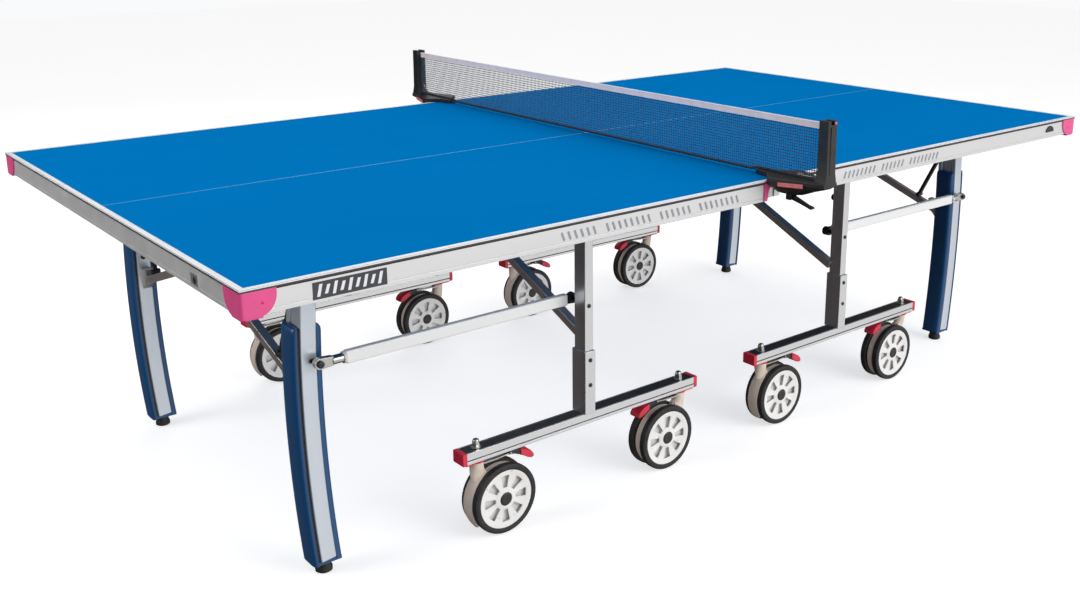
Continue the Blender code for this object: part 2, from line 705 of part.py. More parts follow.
def make_legs(half, side, body):
    """The leg frame: a hinge tube, two bowed legs, braces on a centre post, and the link bars' pins."""
    hinge_x = side * LEG_HINGE_X
    tube_end = LEG_Y + LEG_WIDTH / 2 - 0.0015
    frame = rod(
        f"leg_frame_{half}",
        (hinge_x, -tube_end, HINGE_Z),
        (hinge_x, tube_end, HINGE_Z),
        HINGE_TUBE_RADIUS,
        sides=16,
    )
    members = []
    outer = leg_arc(LEG_RAIL_HALF_DEPTH, LEG_BOTTOM_Z, HINGE_Z)
    inner = leg_arc(-LEG_RAIL_HALF_DEPTH, LEG_BOTTOM_Z, HINGE_Z)
    crown = [
        (
            LEG_HINGE_X + LEG_RAIL_HALF_DEPTH * math.cos(math.pi * step / 6),
            HINGE_Z + LEG_RAIL_HALF_DEPTH * math.sin(math.pi * step / 6),
        )
        for step in range(1, 6)
    ]
    rail_outline = [(side * x, z) for x, z in outer + crown + inner[::-1]]
    web_depth = LEG_RAIL_HALF_DEPTH - 0.0015
    web_outline = leg_arc(web_depth, LEG_BOTTOM_Z + 0.002, COVER_TOP_Z - 0.010)
    web_outline += leg_arc(-web_depth, LEG_BOTTOM_Z + 0.002, COVER_TOP_Z - 0.010)[::-1]
    web_outline = [(side * x, z) for x, z in web_outline]
    rail_shift = LEG_WIDTH / 2 - LEG_RAIL_WIDTH / 2
    for side_name, y_sign in SIDES:
        centre_y = y_sign * LEG_Y
        for edge in (-1, 1):
            members.append(
                plate(
                    f"leg_rail_{half}_{side_name}_{edge}",
                    rail_outline,
                    LEG_RAIL_WIDTH,
                    "Y",
                    centre_y + edge * rail_shift,
                )
            )
        web_width = LEG_WIDTH - LEG_RAIL_WIDTH
        members.append(plate(f"leg_web_{half}_{side_name}", web_outline, web_width, "Y", centre_y))
        members.append(
            square_bar(
                f"leg_brace_{half}_{side_name}",
                (side * LEG_BRACE_X, y_sign * LEG_BRACE_FOOT[0], LEG_BRACE_FOOT[1]),
                (side * LEG_BRACE_X, -y_sign * LEG_BRACE_HEAD[0], LEG_BRACE_HEAD[1]),
                LEG_BRACE_SIZE,
            )
        )
        members.append(
            rod(
                f"leg_pin_{half}_{side_name}",
                (hinge_x, y_sign * (LEG_Y + LEG_WIDTH / 2 - 0.004), LINK_Z),
                (hinge_x, y_sign * (LINK_Y + LINK_WIDTH / 2 + 0.003), LINK_Z),
                AXLE_RADIUS,
            )
        )
    bar_half = LEG_BRACE_SIZE / 2
    members.append(
        box(
            f"leg_centre_post_{half}",
            (side * (LEG_BRACE_X - bar_half), -bar_half, LEG_CENTRE_POST_Z[0]),
            (side * (LEG_BRACE_X + bar_half), bar_half, LEG_CENTRE_POST_Z[1]),
        )
    )
    join(frame, members)
    bores = []
    for side_name, y_sign in SIDES:
        foot_x, foot_y = side * leg_point(0.0, FOOT_HEIGHT)[0], y_sign * LEG_Y
        bores.append(
            rod(
                f"foot_bore_{half}_{side_name}",
                (foot_x, foot_y, 0.0),
                (foot_x, foot_y, FOOT_STEM_TOP_Z + 0.004),
                FOOT_STEM_RADIUS + RUNNING_GAP,
                sides=12,
            )
        )
    cut(frame, bores)
    finish(frame, "silver_metal", body)

    bottom = COVER_BOTTOM_Z
    floor = LEG_BOTTOM_Z - FIT_GAP
    cover_outline = leg_arc(COVER_OUTER, bottom, COVER_TOP_Z)[::-1]
    cover_outline += leg_arc(-COVER_OUTER, bottom, COVER_TOP_Z)
    cover_outline += leg_arc(-COVER_INNER, floor, COVER_TOP_Z)[::-1]
    cover_outline += leg_arc(COVER_INNER, floor, COVER_TOP_Z)
    cover_outline = [(side * x, z) for x, z in cover_outline]
    for (side_name, y_sign), bore in zip(SIDES, bores):
        cover = plate(f"leg_cover_{side_name}_{half}", cover_outline, COVER_WIDTH, "Y", y_sign * LEG_Y)
        cut(cover, [bore])
        finish(cover, "blue_plastic", body)
        make_foot(f"levelling_foot_{side_name}_{half}", side, y_sign, body)


def make_foot(name, side, y_sign, leg_body):
    """A levelling foot on a threaded stem."""
    foot_x, foot_y = side * leg_point(0.0, FOOT_HEIGHT)[0], y_sign * LEG_Y
    body = make_body(f"screw_{name}", (foot_x, foot_y, 0.0), leg_body)
    foot = rod(name, (foot_x, foot_y, 0.0), (foot_x, foot_y, FOOT_HEIGHT), FOOT_RADIUS, sides=20)
    stem = rod(
        f"{name}_stem",
        (foot_x, foot_y, FOOT_HEIGHT - 0.002),
        (foot_x, foot_y, FOOT_STEM_TOP_Z),
        FOOT_STEM_RADIUS,
        sides=12,
    )
    join(foot, [stem])
    finish(foot, "black_plastic", body)


def make_link(half, side, side_name, y_sign, carriage):
    """A round-ended bar on the post's pin, with a larger hole at the leg's pin."""
    pivot = (side * POST_X, y_sign * LINK_Y, LINK_Z)
    body = make_body(f"link_swing_{side_name}_{half}", pivot, carriage)
    ends = []
    for end_x, start_angle in ((LEG_HINGE_X, -math.pi / 2), (POST_X, math.pi / 2)):
        for step in range(7):
            angle = start_angle + math.pi * step / 6
            reach_x, reach_z = math.cos(angle), math.sin(angle)
            ends.append((end_x + LINK_HALF_HEIGHT * reach_x, LINK_Z + LINK_HALF_HEIGHT * reach_z))
    link = plate(
        f"link_bar_{side_name}_{half}", [(side * x, z) for x, z in ends], LINK_WIDTH, "Y", y_sign * LINK_Y
    )
    holes = []
    for end_x, gap in ((POST_X, RUNNING_GAP), (LEG_HINGE_X, OPEN_PIVOT_GAP)):
        low = (side * end_x, y_sign * (LINK_Y - 0.02), LINK_Z)
        high = (side * end_x, y_sign * (LINK_Y + 0.02), LINK_Z)
        holes.append(rod(f"link_hole_{side_name}_{half}", low, high, AXLE_RADIUS + gap))
    cut(link, holes)
    finish(link, "white_paint", body)


def make_net(body):
    """The net between two clamp posts that stand outside the table."""
    net = box(
        "net",
        (-NET_HALF_THICKNESS, -NET_POST_Y[0] + FIT_GAP, NET_BOTTOM_Z),
        (NET_HALF_THICKNESS, NET_POST_Y[0] - FIT_GAP, NET_TOP_Z),
    )
    over_clamps = [
        box(
            f"net_cut_{side_name}",
            (-0.01, y_sign * (CLAMP_TIP_Y - 0.002), NET_BOTTOM_Z - 0.01),
            (0.01, y_sign * NET_POST_Y[1], CLAMP_Z[1] + FIT_GAP),
        )
        for side_name, y_sign in SIDES
    ]
    cut(net, over_clamps)
    finish(net, "net_mesh", body)
    for side_name, y_sign in SIDES:
        make_net_post(side_name, y_sign, body)


def make_net_post(side_name, y_sign, body):
    """A clamp plate over the table's edge, a skirt and keel outside the apron, and the net's upright."""
    name = f"net_post_{side_name}"
    edge_y = TABLE_WIDTH / 2
    outer_y = NET_POST_Y[1]
    right_side = [
        (CLAMP_TIP_HALF_WIDTH, CLAMP_TIP_Y),
        (CLAMP_NECK_HALF_WIDTH, edge_y - 0.028),
        (CLAMP_HALF_WIDTH, edge_y + 0.005),
        (CLAMP_HALF_WIDTH, edge_y + 0.022),
        (CLAMP_END_HALF_WIDTH, outer_y),
    ]
    clamp_outline = right_side + [(-x, y) for x, y in reversed(right_side)]
    skirt_y = edge_y + EDGE_CLEARANCE
    skirt_side = [
        (SKIRT_HALF_WIDTH, skirt_y),
        (SKIRT_HALF_WIDTH, skirt_y + SKIRT_STRAIGHT_DEPTH),
        (SKIRT_END_HALF_WIDTH, outer_y - SKIRT_END_SETBACK),
    ]
    skirt_outline = skirt_side + [(-x, y) for x, y in reversed(skirt_side)]
    clamp = plate(
        name,
        [(x, y_sign * y) for x, y in clamp_outline],
        CLAMP_Z[1] - CLAMP_Z[0],
        "Z",
        (CLAMP_Z[0] + CLAMP_Z[1]) / 2,
    )
    skirt = plate(
        f"{name}_skirt",
        [(x, y_sign * y) for x, y in skirt_outline],
        SKIRT_Z[1] - SKIRT_Z[0],
        "Z",
        (SKIRT_Z[0] + SKIRT_Z[1]) / 2,
    )
    keel = box(
        f"{name}_keel",
        (-KEEL_HALF_WIDTH, y_sign * skirt_y, KEEL_Z[0]),
        (KEEL_HALF_WIDTH, y_sign * (skirt_y + KEEL_LENGTH), KEEL_Z[1]),
    )
    upright = box(
        f"{name}_upright",
        (-NET_POST_HALF_WIDTH, y_sign * NET_POST_Y[0], CLAMP_Z[0] + 0.003),
        (NET_POST_HALF_WIDTH, y_sign * (NET_POST_Y[1] - 0.0015), NET_POST_TOP_Z),
    )
    notch = box(
        f"{name}_notch",
        (-0.005, y_sign * (NET_POST_Y[0] - 0.01), NET_TOP_Z - 0.002),
        (0.005, y_sign * (NET_POST_Y[1] + 0.01), NET_POST_TOP_Z + 0.01),
    )
    pivot_y, pivot_z = y_sign * LEVER_PIVOT[0], LEVER_PIVOT[1]
    ears = [
        box(
            f"{name}_ear_{number}",
            (x_sign * LEVER_EAR_X[0], pivot_y - LEVER_EAR_HALF, pivot_z - LEVER_EAR_HALF),
            (x_sign * LEVER_EAR_X[1], pivot_y + LEVER_EAR_HALF, KEEL_Z[0] + 0.004),
        )
        for number, x_sign in enumerate((-1, 1))
    ]
    pin = rod(
        f"{name}_pin",
        (-LEVER_EAR_X[1], pivot_y, pivot_z),
        (LEVER_EAR_X[1], pivot_y, pivot_z),
        SMALL_PIN_RADIUS,
        sides=10,
    )
    join(clamp, [skirt, keel, upright, *ears, pin])
    cut(clamp, [notch])
    finish(clamp, "black_plastic", body)

    lever_body = make_body(f"lever_axis_{side_name}", (0.0, pivot_y, pivot_z), body)
    tip_y, tip_z = LEVER_TIP
    angle = math.atan2(tip_z - LEVER_PIVOT[1], tip_y - LEVER_PIVOT[0])
    outline = [
        (
            LEVER_PIVOT[0] + LEVER_BOSS_RADIUS * math.cos(angle + math.pi / 2 + math.pi * step / 6),
            LEVER_PIVOT[1] + LEVER_BOSS_RADIUS * math.sin(angle + math.pi / 2 + math.pi * step / 6),
        )
        for step in range(7)
    ]
    outline += [(tip_y, tip_z - 0.003), (tip_y + 0.004, tip_z), (tip_y + 0.002, tip_z + 0.003)]
    lever = plate(
        f"clip_lever_{side_name}", [(y_sign * y, z) for y, z in outline], LEVER_HALF_WIDTH * 2, "X", 0.0
    )
    hole = rod(
        f"{name}_lever_hole",
        (-2 * LEVER_EAR_X[1], pivot_y, pivot_z),
        (2 * LEVER_EAR_X[1], pivot_y, pivot_z),
        SMALL_HOLE_RADIUS,
        sides=10,
    )
    cut(lever, [hole])
    finish(lever, "black_plastic", lever_body)


def main():
    for half, side in HALVES:
        carriage = make_body(f"carriage_{half}", (side * POST_X, 0.0, 0.0))
        top = make_body(f"fold_axis_{half}", (side * POST_X, 0.0, HINGE_Z), carriage)
        leg = make_body(f"leg_axis_{half}", (side * LEG_HINGE_X, 0.0, HINGE_Z), top)
        make_top(half, side, top)
        make_carriage(half, side, carriage)
        make_legs(half, side, leg)
        for side_name, y_sign in SIDES:
            make_link(half, side, side_name, y_sign, carriage)
            for place, direction in PLACES:
                stem_x = side * (POST_X + direction * STEM_OFFSET)
                toward_post = -side * direction
                make_castor(f"{side_name}_{place}_{half}", stem_x, y_sign * POST_Y, toward_post, carriage)
    net_set = make_body("net_lift", (0.0, 0.0, TABLE_HEIGHT))
    make_net(net_set)


main()
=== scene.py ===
"""Looks for the outdoor table-tennis table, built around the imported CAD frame."""

import math
import random

import bmesh
import bpy
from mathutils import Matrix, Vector


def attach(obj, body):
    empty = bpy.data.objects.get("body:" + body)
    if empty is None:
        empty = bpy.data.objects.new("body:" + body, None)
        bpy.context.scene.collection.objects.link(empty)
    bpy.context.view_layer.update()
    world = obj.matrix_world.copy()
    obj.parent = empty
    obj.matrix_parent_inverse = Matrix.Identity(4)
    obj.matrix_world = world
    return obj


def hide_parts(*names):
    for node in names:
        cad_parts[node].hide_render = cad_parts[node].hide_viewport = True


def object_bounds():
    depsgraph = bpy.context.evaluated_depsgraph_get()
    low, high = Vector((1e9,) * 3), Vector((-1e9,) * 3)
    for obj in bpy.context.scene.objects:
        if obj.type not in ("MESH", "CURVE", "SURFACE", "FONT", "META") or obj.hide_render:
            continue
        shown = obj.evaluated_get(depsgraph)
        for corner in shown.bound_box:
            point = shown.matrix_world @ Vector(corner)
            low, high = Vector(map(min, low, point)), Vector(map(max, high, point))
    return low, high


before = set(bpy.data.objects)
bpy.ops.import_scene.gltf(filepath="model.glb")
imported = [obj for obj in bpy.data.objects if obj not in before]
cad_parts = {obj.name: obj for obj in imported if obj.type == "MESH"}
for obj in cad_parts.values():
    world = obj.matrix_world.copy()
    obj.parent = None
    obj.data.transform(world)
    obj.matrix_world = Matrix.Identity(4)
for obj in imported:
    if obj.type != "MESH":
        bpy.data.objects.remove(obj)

CAD_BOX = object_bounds()

HALVES = (("a", -1), ("b", 1))
SIDES = (("near", -1), ("far", 1))
PLACES = (("outer", 1), ("inner", -1))

# Table top and apron, in metres.
END_X = CAD_BOX[1].x
EDGE_Y = 0.7625
SEAM_X = 0.003
TOP_Z = 0.76
UNDER_Z = 0.7545
PAINT = 0.0002
TRIM_Z = 0.7576
LINE_WIDTH = 0.013
CENTRE_LINE_WIDTH = 0.0026
APRON_X = END_X - 0.003
APRON_Y = EDGE_Y - 0.003
APRON_Z = (0.7085, 0.7505)
RAIL_WIDTH = 0.02
WELD = 0.0005  # how far rails that meet run into each other
NOTCH_X = 0.05
NOTCH_Z = 0.74
CAP_SIDE = 0.068
CAP_END = 0.072

# Hinges and carriage.
HINGE_Z = 0.695
POST_X = 0.467
POST_Y = 0.579
LEG_X = 1.125
LINK_Y = 0.5375
LINK_Z = 0.497
BAR_END = 0.352

# Castors.
STEM_OFFSET = 0.312
TRAIL = 0.06
WHEEL_R = 0.0845

# Legs.
LEG_Y = 0.4835
LEG_EDGE = 0.0325
ARC_RADIUS = 3.48
ARC_X = 1.1374
ARC_Z = 0.4
LEG_BOTTOM_Z = 0.038
COVER_TOP_Z = 0.572


# ------------------------ camera and light

# The surround's least strength, and its colour where it is dim and where it is bright.
SURROUND_LEAST = 0.055
SURROUND_DIM = (1.0, 0.8, 0.74)
SURROUND_BRIGHT = (1.0, 0.985, 0.965)
BACKDROP = (0.95, 0.955, 0.965, 1.0)
FLOOR_REACH = 14.0
FLOOR_Z = -0.0005


def add_object(name, data):
    added = bpy.data.objects.new(name, data)
    bpy.context.scene.collection.objects.link(added)
    return added


def make_camera():
    """The photo's camera, as fitted to the table's corners and edges."""
    data = bpy.data.cameras.new("camera")
    data.lens = 39.13
    data.sensor_width = 36.0
    data.shift_x = -0.0502
    data.shift_y = -0.0849
    camera = add_object("camera", data)
    camera.location = (-2.112, -2.614, 1.391)
    camera.rotation_euler = (math.radians(90.0 - 14.503), 0.0, math.radians(-39.493))
    bpy.context.scene.camera = camera


def make_lamp(name, location, target, size, power):
    data = bpy.data.lights.new(name, "AREA")
    data.shape = "RECTANGLE"
    data.size, data.size_y = size
    data.energy = power
    lamp = add_object(name, data)
    lamp.location = location
    aim = Vector(target) - Vector(location)
    lamp.rotation_euler = aim.to_track_quat("-Z", "Y").to_euler()


def make_studio():
    """A pale floor and a soft surround that is brighter on the near side and overhead."""
    world = bpy.data.worlds.new("studio")
    bpy.context.scene.world = world
    world.use_nodes = True
    nodes, links = world.node_tree.nodes, world.node_tree.links
    nodes.clear()
    way = nodes.new("ShaderNodeTexCoord")
    strength = None
    for towards, low, gain in (
        ((0.42, -0.9, -0.1), 0.1, 0.95),
        ((0.3, 0.9, 0.1), 0.5, 0.12),
        ((0.0, 0.0, 1.0), 0.25, 0.42),
    ):
        dot = nodes.new("ShaderNodeVectorMath")
        dot.operation = "DOT_PRODUCT"
        dot.inputs[1].default_value = Vector(towards).normalized()
        links.new(way.outputs["Generated"], dot.inputs[0])
        share = map_range(nodes, links, dot.outputs["Value"], (low, 1.0), (0.0, gain), "SMOOTHSTEP")
        total = nodes.new("ShaderNodeMath")
        total.operation = "ADD"
        total.inputs[0].default_value = SURROUND_LEAST
        if strength:
            links.new(strength, total.inputs[0])
        links.new(share, total.inputs[1])
        strength = total.outputs["Value"]
    tint = map_range(nodes, links, strength, (0.06, 0.22), (0.0, 1.0))
    surround = nodes.new("ShaderNodeBackground")
    colour = blend_colour(nodes, links, tint, SURROUND_DIM, SURROUND_BRIGHT)
    links.new(colour, surround.inputs["Color"])
    links.new(strength, surround.inputs["Strength"])
    backdrop = nodes.new("ShaderNodeBackground")
    backdrop.inputs["Color"].default_value = BACKDROP
    seen = nodes.new("ShaderNodeLightPath")
    mix = nodes.new("ShaderNodeMixShader")
    out = nodes.new("ShaderNodeOutputWorld")
    links.new(seen.outputs["Is Camera Ray"], mix.inputs["Fac"])
    links.new(surround.outputs["Background"], mix.inputs[1])
    links.new(backdrop.outputs["Background"], mix.inputs[2])
    links.new(mix.outputs["Shader"], out.inputs["Surface"])

    make_lamp("key", (1.6, -5.2, 2.6), (0.0, 0.0, 0.45), (3.6, 2.4), 120.0)
    make_lamp("overhead", (0.2, 0.3, 4.2), (0.0, 0.0, 0.7), (4.2, 3.2), 52.0)
    make_lamp("end_fill", (-4.6, 0.9, 1.9), (-1.3, 0.1, 0.7), (2.4, 1.6), 80.0)
    make_lamp("back_fill", (2.2, 4.4, 2.4), (0.0, 0.0, 0.5), (3.0, 2.0), 26.0)

    floor_mesh = bmesh.new()
    bmesh.ops.create_grid(floor_mesh, x_segments=8, y_segments=8, size=FLOOR_REACH)
    mesh = bpy.data.meshes.new("studio_floor")
    floor_mesh.to_mesh(mesh)
    floor_mesh.free()
    floor = add_object("studio_floor", mesh)
    floor.location.z = FLOOR_Z
    floor.visible_diffuse = False
    floor.visible_glossy = False
    mesh.materials.append(FINISH["floor"])


# ------------------------ finishes

COAT_ROUGHNESS = 0.12
RELIEF_DEPTH = 0.001


def noise(nodes, links, scale, detail, stretch):
    place = nodes.new("ShaderNodeTexCoord")
    mapping = nodes.new("ShaderNodeMapping")
    mapping.inputs["Scale"].default_value = stretch
    texture = nodes.new("ShaderNodeTexNoise")
    texture.inputs["Scale"].default_value = scale
    texture.inputs["Detail"].default_value = detail
    links.new(place.outputs["Object"], mapping.inputs["Vector"])
    links.new(mapping.outputs["Vector"], texture.inputs["Vector"])
    return texture.outputs["Fac"]


def map_range(nodes, links, value, source, target, interpolation="LINEAR"):
    ramp = nodes.new("ShaderNodeMapRange")
    ramp.interpolation_type = interpolation
    ramp.inputs["From Min"].default_value, ramp.inputs["From Max"].default_value = source
    ramp.inputs["To Min"].default_value, ramp.inputs["To Max"].default_value = target
    links.new(value, ramp.inputs["Value"])
    return ramp.outputs["Result"]


def blend_colour(nodes, links, factor, first, second):
    mix = nodes.new("ShaderNodeMix")
    mix.data_type = "RGBA"
    links.new(factor, mix.inputs["Factor"])
    for socket, value in ((mix.inputs[6], first), (mix.inputs[7], second)):
        if isinstance(value, tuple):
            socket.default_value = (*value, 1.0)
        else:
            links.new(value, socket)
    return mix.outputs[2]


def make_finish(
    name, colour, roughness, metallic=0.0, spread=0.06, patch=9.0, stretch=(1, 1, 1),
    grain=420.0, bump=0.05, dirt=None, dirt_from=0.62, coat=0.0, gleam=0.5, glow=0.0,
):
    """One surface: patchy colour, uneven gloss, fine relief and, if asked, dirt or scuffs in spots."""
    material = bpy.data.materials.new(name)
    material.use_nodes = True
    nodes, links = material.node_tree.nodes, material.node_tree.links
    shader = nodes["Principled BSDF"]
    for socket, value in (
        ("Metallic", metallic), ("Coat Weight", coat), ("Coat Roughness", COAT_ROUGHNESS),
        ("Specular IOR Level", gleam), ("Emission Color", (*colour, 1.0)), ("Emission Strength", glow),
    ):
        shader.inputs[socket].default_value = value
    patches = noise(nodes, links, patch, 5.0, stretch)
    even = map_range(nodes, links, patches, (0.3, 0.7), (0.0, 1.0))
    darker = tuple(channel * (1.0 - spread) for channel in colour)
    lighter = tuple(min(channel * (1.0 + spread) + spread * 0.02, 1.0) for channel in colour)
    tint = blend_colour(nodes, links, even, darker, lighter)
    if dirt:
        spots = noise(nodes, links, patch * 4.0, 8.0, stretch)
        cover = map_range(nodes, links, spots, (dirt_from, dirt_from + 0.14), (0.0, 0.65))
        tint = blend_colour(nodes, links, cover, tint, dirt)
    links.new(tint, shader.inputs["Base Color"])
    gloss = noise(nodes, links, patch * 3.0, 6.0, stretch)
    links.new(
        map_range(nodes, links, gloss, (0.25, 0.75), (roughness - 0.07, roughness + 0.09)),
        shader.inputs["Roughness"],
    )
    relief = nodes.new("ShaderNodeBump")
    relief.inputs["Strength"].default_value = bump
    relief.inputs["Distance"].default_value = RELIEF_DEPTH
    links.new(noise(nodes, links, grain, 3.0, stretch), relief.inputs["Height"])
    links.new(relief.outputs["Normal"], shader.inputs["Normal"])
    FINISH[name] = material


FINISH = {}
# Noise drawn out along the way that a profile was extruded.
ALONG_X = (0.06, 1.0, 1.0)
ALONG_Z = (1.0, 1.0, 0.06)

make_finish("playing_blue", (0.0, 0.18, 0.52), 0.7, spread=0.02, patch=3.0, grain=260.0, bump=0.06,
            gleam=0.0)
make_finish("line_white", (0.84, 0.86, 0.88), 0.42, spread=0.03, dirt=(0.6, 0.6, 0.58), dirt_from=0.66)
make_finish("apron_silver", (0.72, 0.73, 0.74), 0.38, metallic=0.45, spread=0.05, stretch=ALONG_X,
            grain=700.0)
make_finish("frame_silver", (0.66, 0.67, 0.69), 0.3, metallic=0.9, stretch=ALONG_Z, grain=700.0)
make_finish("bar_silver", (0.7, 0.71, 0.73), 0.27, metallic=0.9, stretch=ALONG_X, grain=700.0)
make_finish("leg_silver", (0.62, 0.68, 0.75), 0.36, metallic=0.6, stretch=ALONG_Z, grain=600.0)
make_finish("brace_steel", (0.62, 0.57, 0.54), 0.34, metallic=0.9, spread=0.08, grain=600.0)
make_finish("zinc", (0.5, 0.5, 0.48), 0.3, metallic=1.0, spread=0.12, patch=40.0)
# Near-black panel edge: partly its own colour, partly painted shadow of the gap above the apron.
make_finish("edge_dark", (0.06, 0.045, 0.042), 0.55, spread=0.15, patch=20.0)
make_finish("centre_blue", (0.11, 0.34, 0.63), 0.5, spread=0.04, patch=12.0)
# Plain grey for the link rings and the tension cord; behind the hub windows the same grey is painted shade
# in the recesses.
make_finish("hub_grey", (0.76, 0.75, 0.74), 0.5, patch=30.0)
make_finish("link_white", (0.9, 0.91, 0.92), 0.3, spread=0.03, stretch=ALONG_X, coat=0.2)
make_finish("corner_pink", (0.83, 0.085, 0.3), 0.38, spread=0.05, patch=25.0, bump=0.08)
make_finish("red_plastic", (0.7, 0.02, 0.06), 0.36, spread=0.07, patch=25.0, bump=0.08)
make_finish("cream_plastic", (0.8, 0.7, 0.61), 0.46, patch=18.0, bump=0.1)
make_finish("hub_white", (0.9, 0.9, 0.9), 0.35, spread=0.04, patch=18.0, bump=0.06,
            dirt=(0.52, 0.49, 0.45))
make_finish("tyre_black", (0.012, 0.012, 0.015), 0.62, spread=0.25, patch=30.0, grain=900.0, bump=0.2,
            dirt=(0.075, 0.07, 0.065), dirt_from=0.6)
make_finish("black_plastic", (0.01, 0.01, 0.011), 0.4, spread=0.2, patch=22.0, bump=0.12)
make_finish("cover_blue", (0.003, 0.068, 0.205), 0.36, spread=0.07, patch=10.0, stretch=ALONG_Z,
            bump=0.08)
make_finish("foot_black", (0.01, 0.01, 0.011), 0.6, spread=0.2, patch=30.0, bump=0.25,
            dirt=(0.07, 0.065, 0.06))
make_finish("net_strand", (0.045, 0.065, 0.105), 0.8, spread=0.15, patch=60.0, bump=0.1)
make_finish("net_tape", (0.97, 0.86, 0.87), 0.72, patch=30.0, grain=1500.0, bump=0.35)
make_finish("net_cord", (0.018, 0.022, 0.035), 0.7, spread=0.2, patch=80.0, grain=1800.0, bump=0.4)
make_finish("label_red", (0.85, 0.22, 0.24), 0.4, spread=0.12, patch=60.0)
make_finish("decal_dark", (0.04, 0.042, 0.055), 0.38, spread=0.1, patch=25.0)
make_finish("decal_grey", (0.3, 0.32, 0.36), 0.4, spread=0.1, patch=25.0)
make_finish("floor", (0.72, 0.722, 0.73), 0.7, spread=0.01, patch=1.5, grain=60.0, bump=0.02, glow=0.86)


# ------------------------ shapes

def arc(x, z, radius, first, last, steps, tall=None):
    """Points round (x, z) from one angle to another, in degrees. With tall the arc is an ellipse's."""
    tall = radius if tall is None else tall
    turns = [math.radians(first + (last - first) * step / steps) for step in range(steps + 1)]
    return [(x + radius * math.cos(turn), z + tall * math.sin(turn)) for turn in turns]


class Shape:
    """Closed solids gathered into one mesh, mirrored by flip and placed from an origin in X and Y."""

    def __init__(self, origin=(0.0, 0.0), flip=(1, 1)):
        self.mesh = bmesh.new()
        self.origin, self.flip = origin, flip

    def vertex(self, point):
        x, y = (at + sign * value for at, sign, value in zip(self.origin, self.flip, point))
        return self.mesh.verts.new((x, y, point[2]))

    def loft(self, rings, slot=0, loop=False):
        """Skins a row of rings of points. The ends are closed unless the row joins up in a loop."""
        rows = [[self.vertex(point) for point in ring] for ring in rings]
        pairs = list(zip(rows, rows[1:]))
        faces = []
        if loop:
            pairs.append((rows[-1], rows[0]))
        else:
            faces += [self.mesh.faces.new(rows[0]), self.mesh.faces.new(rows[-1])]
        for first, second in pairs:
            for i in range(len(first)):
                j = (i + 1) % len(first)
                faces.append(self.mesh.faces.new((first[i], first[j], second[j], second[i])))
        for face in faces:
            face.material_index = slot

    def prism(self, outline, axis, low, high, slot=0):
        """An outline pushed along an axis. Its points are (y, z) for X, (x, z) for Y and (x, y) for Z."""
        place = {
            "X": lambda p, t: (t, p[0], p[1]),
            "Y": lambda p, t: (p[0], t, p[1]),
            "Z": lambda p, t: (p[0], p[1], t),
        }[axis]
        self.loft([[place(point, t) for point in outline] for t in sorted((low, high))], slot)

    def box(self, corner, opposite, slot=0):
        """A box between any two opposite corners."""
        x, y, z = (sorted(ends) for ends in zip(corner, opposite))
        self.prism([(x[0], y[0]), (x[1], y[0]), (x[1], y[1]), (x[0], y[1])], "Z", z[0], z[1], slot)

    def bar(self, start, end, width, depth, across=(1, 0, 0), slot=0):
        """A flat-sided bar between two points, depth thick along across and width thick the other way."""
        start, end, across = Vector(start), Vector(end), Vector(across)
        other = (end - start).cross(across).normalized() * width / 2
        across = across.normalized() * depth / 2
        corners = [other + across, other - across, -other - across, -other + across]
        self.loft([[point + corner for corner in corners] for point in (start, end)], slot)

    def turned(self, profile, centre, axis, sides=32, slot=0, loop=False):
        """A profile of (radius, height) points turned about an axis through centre."""
        turn = Vector(axis).to_track_quat("Z", "Y").to_matrix()
        centre = Vector(centre)
        full = 360.0 * (sides - 1) / sides
        rings = [
            [centre + turn @ Vector((x, y, height)) for x, y in arc(0, 0, radius, 0, full, sides - 1)]
            for radius, height in profile
        ]
        self.loft(rings, slot, loop)

    def rod(self, start, end, radius, sides=24, slot=0):
        along = Vector(end) - Vector(start)
        self.turned([(radius, 0.0), (radius, along.length)], start, along, sides, slot)

    def dome(self, base, axis, radius, height, sides=24, slot=0):
        """A bolt head with a rounded top on a straight wall."""
        wall = 0.45 * height
        profile = [(radius, 0.0), (radius, wall)]
        for angle in (25, 50, 70, 84):
            turn = math.radians(angle)
            profile.append((radius * math.cos(turn), wall + (height - wall) * math.sin(turn)))
        self.turned(profile, base, axis, sides, slot)


# Degrees between two faces from which their edge is rounded, or kept sharp.
BEVEL_FROM = 40
SHARP_FROM = 38


def make_piece(name, shape, body, finishes, bevel=0.0, segments=2, replaces=()):
    """Turns a Shape into a named piece that rides on a body."""
    finishes = (finishes,) if isinstance(finishes, str) else finishes
    bmesh.ops.recalc_face_normals(shape.mesh, faces=shape.mesh.faces)
    mesh = bpy.data.meshes.new(name)
    shape.mesh.to_mesh(mesh)
    shape.mesh.free()
    for finish in finishes:
        mesh.materials.append(FINISH[finish])
    piece = add_object(name, mesh)
    mesh.shade_smooth()
    if bevel:
        rounding = piece.modifiers.new("rounding", "BEVEL")
        rounding.width = bevel
        rounding.segments = segments
        rounding.limit_method = "ANGLE"
        rounding.angle_limit = math.radians(BEVEL_FROM)
        rounding.harden_normals = True
    else:
        mesh.set_sharp_from_angle(angle=math.radians(SHARP_FROM))
    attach(piece, body)
    if replaces:
        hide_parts(*replaces)
    return piece


# ------------------------ table top

def edge_loft(shape, profile, loop, x_low=SEAM_X, x_high=END_X, y=EDGE_Y):
    """Runs a profile of (inset, height) points round a half, closed or cut off square at the seam."""
    rings = []
    for at_end, y_sign in ((False, -1), (True, -1), (True, 1), (False, 1)):
        ring = []
        for inset, height in profile:
            seam_x = x_low + (inset if loop else 0.0)
            ring.append((x_high - inset if at_end else seam_x, y_sign * (y - inset), height))
        rings.append(ring)
    shape.loft(rings, loop=loop)


